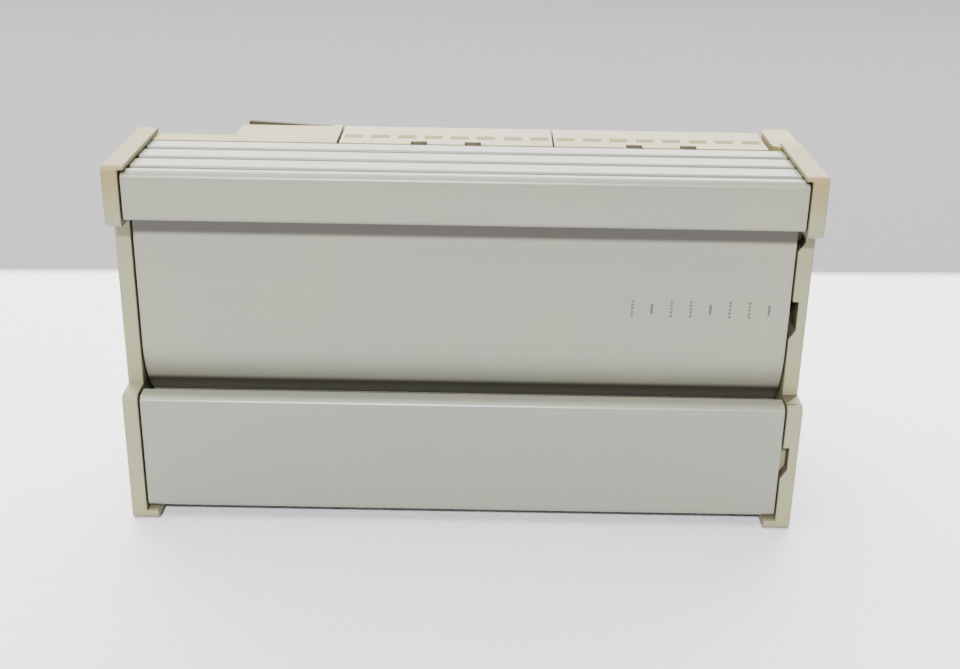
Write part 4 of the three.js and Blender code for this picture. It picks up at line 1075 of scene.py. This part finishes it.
@dataclass
class Electronics:
    """The boards and the components on them."""


    def build(self, palette: Palette) -> None:
        """Makes the boards, then what stands on them."""
        for node in ("main_board", "logic_board", "port_board"):
            refined(node, palette.laminate, 0.1, 1)
        for node in ("board_link_left", "board_link_right", "port_board_link"):
            strip = refined(node, palette.black, 0.08, 1)
            low, _ = node_box(node)
            paint_faces(strip, palette.tin, face_centres(strip)[:, 1] > low[1] + 2.55)
        for number in range(1, 5):
            self.add_relay(f"output_relay_{number}", palette)
        for number in range(1, 3):
            chip = refined(f"input_isolator_{number}", palette.black, 0.12, 1)
            low, high = node_box(f"input_isolator_{number}")
            centre = face_centres(chip)
            outside = (centre[:, 2] < low[2] + 0.49) | (centre[:, 2] > high[2] - 0.49)
            paint_faces(chip, palette.tin, outside | (centre[:, 1] < low[1] + 0.45))
        self.add_capacitor(palette)
        self.add_transformer(palette)
        self.add_processor(palette)
        refined("clock_crystal", palette.can, 0.35, 3)
        self.add_solder(palette)

    def add_relay(self, node: str, palette: Palette) -> None:
        """A relay: its case with rounded edges, and a base plate set in below it."""
        refined(node, palette.relay, 0.5, 3)
        low, high = node_box(node)
        base = bars(low + [0.3, -0.25, 0.3], np.array([high[0] - 0.3, low[1] + 0.05, high[2] - 0.3]))
        plate = piece_from(node + "_base", base, palette.black, "housing")
        add_bevel(plate, 0.06, 1)

    def add_capacitor(self, palette: Palette) -> None:
        """An electrolytic can along y: a sleeve turned in over its rim, a bead near the base, a bare aluminium end
        set a little in.
        """
        low, high = node_box("smoothing_capacitor")
        r, height = (high[0] - low[0]) / 2, high[1] - low[1]
        bead = np.linspace(0, math.pi, 9)
        side = np.column_stack([r - 0.55 * np.sin(bead), 1.6 + 1.5 * bead / math.pi])
        rim = fillet((r - 0.8, height - 0.8), 0, 0.8, 8)
        end = [[r - 1.5, height], [r - 1.6, height - 0.25], [0, height - 0.25]]
        profile = np.vstack([[[0, 0], [r - 0.4, 0], [r, 0.4]], side, rim, end])
        centre = ((low[0] + high[0]) / 2, low[1], (low[2] + high[2]) / 2)
        can = piece_from(
            "capacitor_can", turned(profile, 48, Axis.Y).moved(centre), palette.sleeve, "housing"
        )
        distance = np.hypot(*(face_centres(can)[:, [0, 2]] - [centre[0], centre[2]]).T)
        paint_faces(can, palette.can, (distance < r - 1.5) & (face_centres(can)[:, 1] > high[1] - 0.5))
        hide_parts("smoothing_capacitor")

    def add_transformer(self, palette: Palette) -> None:
        """A ferrite core, with the taped winding round its middle limb painted on the core's faces there."""
        core = refined("power_transformer", palette.ferrite, 0.4, 2)
        low, high = node_box("power_transformer")
        centre = face_centres(core)
        middle = (low[0] + high[0]) / 2
        wound = (centre[:, 1] > high[1] - 3.2) | (centre[:, 1] < low[1] + 2.9)
        paint_faces(core, palette.tape, wound & (np.abs(centre[:, 0] - middle) < 6.2))

    def add_processor(self, palette: Palette) -> None:
        """The processor's package with gull-wing leads along all four sides."""
        refined("processor", palette.black, 0.2, 2)
        low, high = node_box("processor")
        half, count, pitch = (high[0] - low[0]) / 2, 16, 0.8
        middle = (low + high) / 2
        along = pitch * (np.arange(count) - (count - 1) / 2)
        profile = np.array([[0.0, -0.8], [0.45, -0.8], [0.75, -0.2], [1.15, -0.2]])
        leads = []
        for quarter in range(4):
            turn = quarter * math.pi / 2
            out, side = np.array([math.cos(turn), math.sin(turn)]), np.array([-math.sin(turn), math.cos(turn)])
            for start, end in zip(profile[:-1], profile[1:]):
                centres = out * (half + (start[0] + end[0]) / 2) + along[:, None] * side
                reach = np.abs(out) * ((end[0] - start[0]) / 2 + 0.05) + np.abs(side) * 0.15
                y0, y1 = high[1] + min(start[1], end[1]) - 0.08, high[1] + max(start[1], end[1]) + 0.08
                lows = np.column_stack([middle[0] + centres[:, 0] - reach[0], np.full(count, y0),
                                        middle[2] + centres[:, 1] - reach[1]])
                highs = np.column_stack([middle[0] + centres[:, 0] + reach[0], np.full(count, y1),
                                         middle[2] + centres[:, 1] + reach[1]])
                leads.append(bars(lows, highs))
        piece_from("processor_leads", merged(leads), palette.tin, "housing")

    def add_solder(self, palette: Palette) -> None:
        """Solder joints behind the headers: cones with a hollow flank, r = r0 (1 - h)^2 + r1."""
        low, high = node_box("main_board")
        h = np.linspace(0, 1, 6)
        profile = np.vstack([[[0, 0]], np.column_stack([0.95 * (1 - h) ** 2 + 0.3, -1.1 * h]), [[0, -1.2]]])
        joint = turned(profile, 12, Axis.Y)
        places = []
        for node in ("header_top_left", "header_top_right", "header_bottom_left", "header_bottom_right",
                     "power_header"):
            corner, end = node_box(node)
            ways = round((end[0] - corner[0] + 1.2) / 5.08)
            x = (corner[0] + end[0]) / 2 + 5.08 * (np.arange(ways) - (ways - 1) / 2)
            places.append(np.column_stack([x, np.full(ways, low[1] - 0.02), np.full(ways, (corner[2] + end[2]) / 2)]))
        piece_from("solder_joints", joint.copied_to(np.vstack(places)), palette.tin, "housing")


@dataclass
class ServicePort:
    """What is behind the door: a round socket with its contacts, and the mode switch."""

    contact_count: int = 7
    contact_radius: float = 0.35

    def build(self, palette: Palette) -> None:
        """Makes the socket, its contact holes' brass, the switch and its ribbed knob."""
        refined("service_socket", palette.black, 0.1, 1)
        low, high = node_box("service_socket")
        centre = (low + high) / 2
        angle = np.linspace(0, 2 * math.pi, self.contact_count, endpoint=False) + 0.4
        r = self.contact_radius
        profile = np.array([[0, -1.0], [r, -1.0], [r, -0.05], [r * 0.7, 0.0], [r * 0.55, -0.4], [0, -0.4]])
        places = np.column_stack([
            centre[0] + 1.7 * np.cos(angle), np.full(len(angle), high[1] - 0.72), centre[2] + 1.7 * np.sin(angle)
        ])
        piece_from(
            "socket_contacts", turned(profile, 12, Axis.Y).copied_to(places), palette.tin, "housing"
        )
        refined("mode_switch", palette.black, 0.12, 1)
        refined("mode_slider", palette.nylon, 0.15, 2)


@dataclass
class RailPads:
    """The sprung pads that press the rail up against the upper lip."""

    wire: float = 0.35
    radius: float = 1.6
    turns: int = 6
    travel: float = 1.0

    def build(self, palette: Palette) -> None:
        """Makes both pads and their springs."""
        for side in ("left", "right"):
            refined(f"rail_pad_{side}", palette.nylon, 0.15, 2)
            self.add_spring(side, palette)

    def add_spring(self, side: str, palette: Palette) -> None:
        """A coil whose rise per turn eases off towards its first and last turn."""
        node = f"pad_spring_{side}"
        low, high = node_box(node)
        t = np.linspace(0, 1, 36 * self.turns + 1)
        ease = 0.5 - 0.5 * np.cos(np.clip(t, 0, 1) * math.pi)
        rise = 0.55 * t + 0.45 * ease
        angle = 2 * math.pi * self.turns * t
        middle = (low + high) / 2
        floor, height = low[2] + self.wire, high[2] - low[2] - 2 * self.wire
        path = np.column_stack([
            middle[0] + self.radius * np.cos(angle), middle[1] + self.radius * np.sin(angle), floor + height * rise
        ])
        coil = piece_from(node + "_coil", tube(path, self.wire, 10), palette.spring, "housing")
        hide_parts(node)
        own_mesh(coil)


# ---- Studio ------------------------------------------------------------------------------------------


@dataclass(frozen=True)
class Studio:
    """The camera, the lights, and the pale floor, which turns grey behind the module."""

    camera_at: Point = (3.33, -251.35, 133.58)
    pitch: float = 22.62
    yaw: float = -0.07
    roll: float = -0.968
    lens: float = 50.53
    sensor: float = 36
    floor_near: float = -700
    floor_far: float = 2200
    floor_half_width: float = 1500
    backdrop_from: float = 115.5
    backdrop_blend: float = 2.5
    backdrop_skew: float = 0.04
    floor_colour: str = "#f4f4fa"
    backdrop_colour: str = "#656568"
    dimple_mm: float = 1.4
    key_elevation: float = 36
    key_strength: float = 5.2
    top_power: float = 12.0
    back_power: float = 38.0
    fill_strength: float = 0.04

    def build(self) -> None:
        """Places everything that isn't part of the module."""
        self.add_camera()
        self.add_floor()
        self.add_lights()

    def add_camera(self) -> None:
        """The camera: its axes from pitch below the horizon, yaw about z, and roll about the line of sight."""
        pitch, yaw, roll = (math.radians(a) for a in (self.pitch, self.yaw, self.roll))
        ahead = Vector((math.sin(yaw) * math.cos(pitch), math.cos(yaw) * math.cos(pitch), -math.sin(pitch)))
        level = Vector((math.cos(yaw), -math.sin(yaw), 0))
        below = ahead.cross(level)
        right = level * math.cos(roll) + below * math.sin(roll)
        down = below * math.cos(roll) - level * math.sin(roll)
        data = bpy.data.cameras.new("camera")
        data.lens = self.lens
        data.sensor_width = self.sensor
        data.clip_start = 0.01
        camera = bpy.data.objects.new("camera", data)
        turn = Matrix((right, -down, -ahead)).transposed().to_4x4()
        camera.matrix_world = Matrix.Translation(Vector(self.camera_at) * MM) @ turn
        bpy.context.scene.collection.objects.link(camera)
        bpy.context.scene.camera = camera

    def add_floor(self) -> None:
        """One level sheet: pale under the module, grey further back."""
        side = self.floor_half_width
        points = np.array([(x, y, 0.0) for y in (self.floor_near, self.floor_far) for x in (-side, side)])
        sheet = Surface(points, [[0, 1, 3, 2]])
        mesh = bpy.data.meshes.new("studio_floor")
        mesh.from_pydata((sheet.points * MM).tolist(), [], sheet.faces)
        floor = bpy.data.objects.new("studio_floor", mesh)
        floor.data.materials.append(self.foam())
        bpy.context.scene.collection.objects.link(floor)

    def foam(self) -> bpy.types.Material:
        """Pale foam sheet: matt near-white with a fine dimpled face."""
        material, tree, surface = new_material("pale_foam_sheet")
        place = add_node(tree, "TexCoord").outputs["Object"]
        grain = noise(tree, place, self.dimple_mm, 4)
        across = (-self.backdrop_skew, 1.0, 0.0)
        depth = add_node(tree, "VectorMath", {0: place, 1: across}, operation="DOT_PRODUCT").outputs["Value"]
        start, end = ((self.backdrop_from + side * self.backdrop_blend) * MM for side in (-1, 1))
        behind = ramp(tree, depth, 0, 1, start, end)
        colour = mix(tree, behind, linear(self.floor_colour), linear(self.backdrop_colour))
        colour = mix(tree, 1.0, colour, ramp(tree, grain, 0.94, 1.05), "MULTIPLY")
        feed(tree, surface, {"Base Color": colour, "Roughness": 0.55})
        add_bump(tree, surface, grain, 0.6, 0.3)
        return material

    def add_lights(self) -> None:
        """A small key from the camera's side, wide panels overhead and behind, and a faint even fill."""
        key = bpy.data.lights.new("key", "SUN")
        key.energy = self.key_strength
        key.angle = math.radians(4)
        lamp = bpy.data.objects.new("key", key)
        rise = math.radians(self.key_elevation)
        lamp.rotation_euler = Vector((0.08, math.cos(rise), -math.sin(rise))).to_track_quat("-Z", "Y").to_euler()
        bpy.context.scene.collection.objects.link(lamp)
        self.add_panel("overhead", (-180, 0, 750), (900, 700), self.top_power)
        self.add_panel("back", (0, 750, 562), (1785, 750), self.back_power)
        world = bpy.data.worlds.new("studio")
        world.use_nodes = True
        background = world.node_tree.nodes["Background"]
        background.inputs[0].default_value = linear("#eef0f4")
        background.inputs[1].default_value = self.fill_strength
        bpy.context.scene.world = world

    def add_panel(self, name: str, centre: Point, size: tuple[float, float], power: float) -> None:
        """A soft rectangular light that faces the module.

        Args:
            name: Its name.
            centre: Where its middle is, in millimetres.
            size: Its width and height, in millimetres.
            power: Its power in watts.
        """
        light = bpy.data.lights.new(name, "AREA")
        light.shape = "RECTANGLE"
        light.size, light.size_y = (side * MM for side in size)
        light.energy = power
        panel = bpy.data.objects.new(name, light)
        panel.location = Vector(centre) * MM
        panel.rotation_euler = (Vector((0, 0, 35)) - Vector(centre)).to_track_quat("-Z", "Y").to_euler()
        bpy.context.scene.collection.objects.link(panel)


def main() -> None:
    """Builds the module and its studio."""
    logging.basicConfig(level=logging.INFO, format="%(message)s")
    Studio().build()
    palette = Palette()
    for part in (Housing(), Shell(), Terminals(), Electronics(), ServicePort(), RailPads()):
        part.build(palette)
        log.info("built %s", type(part).__name__)


if __name__ == "__main__":
    main()
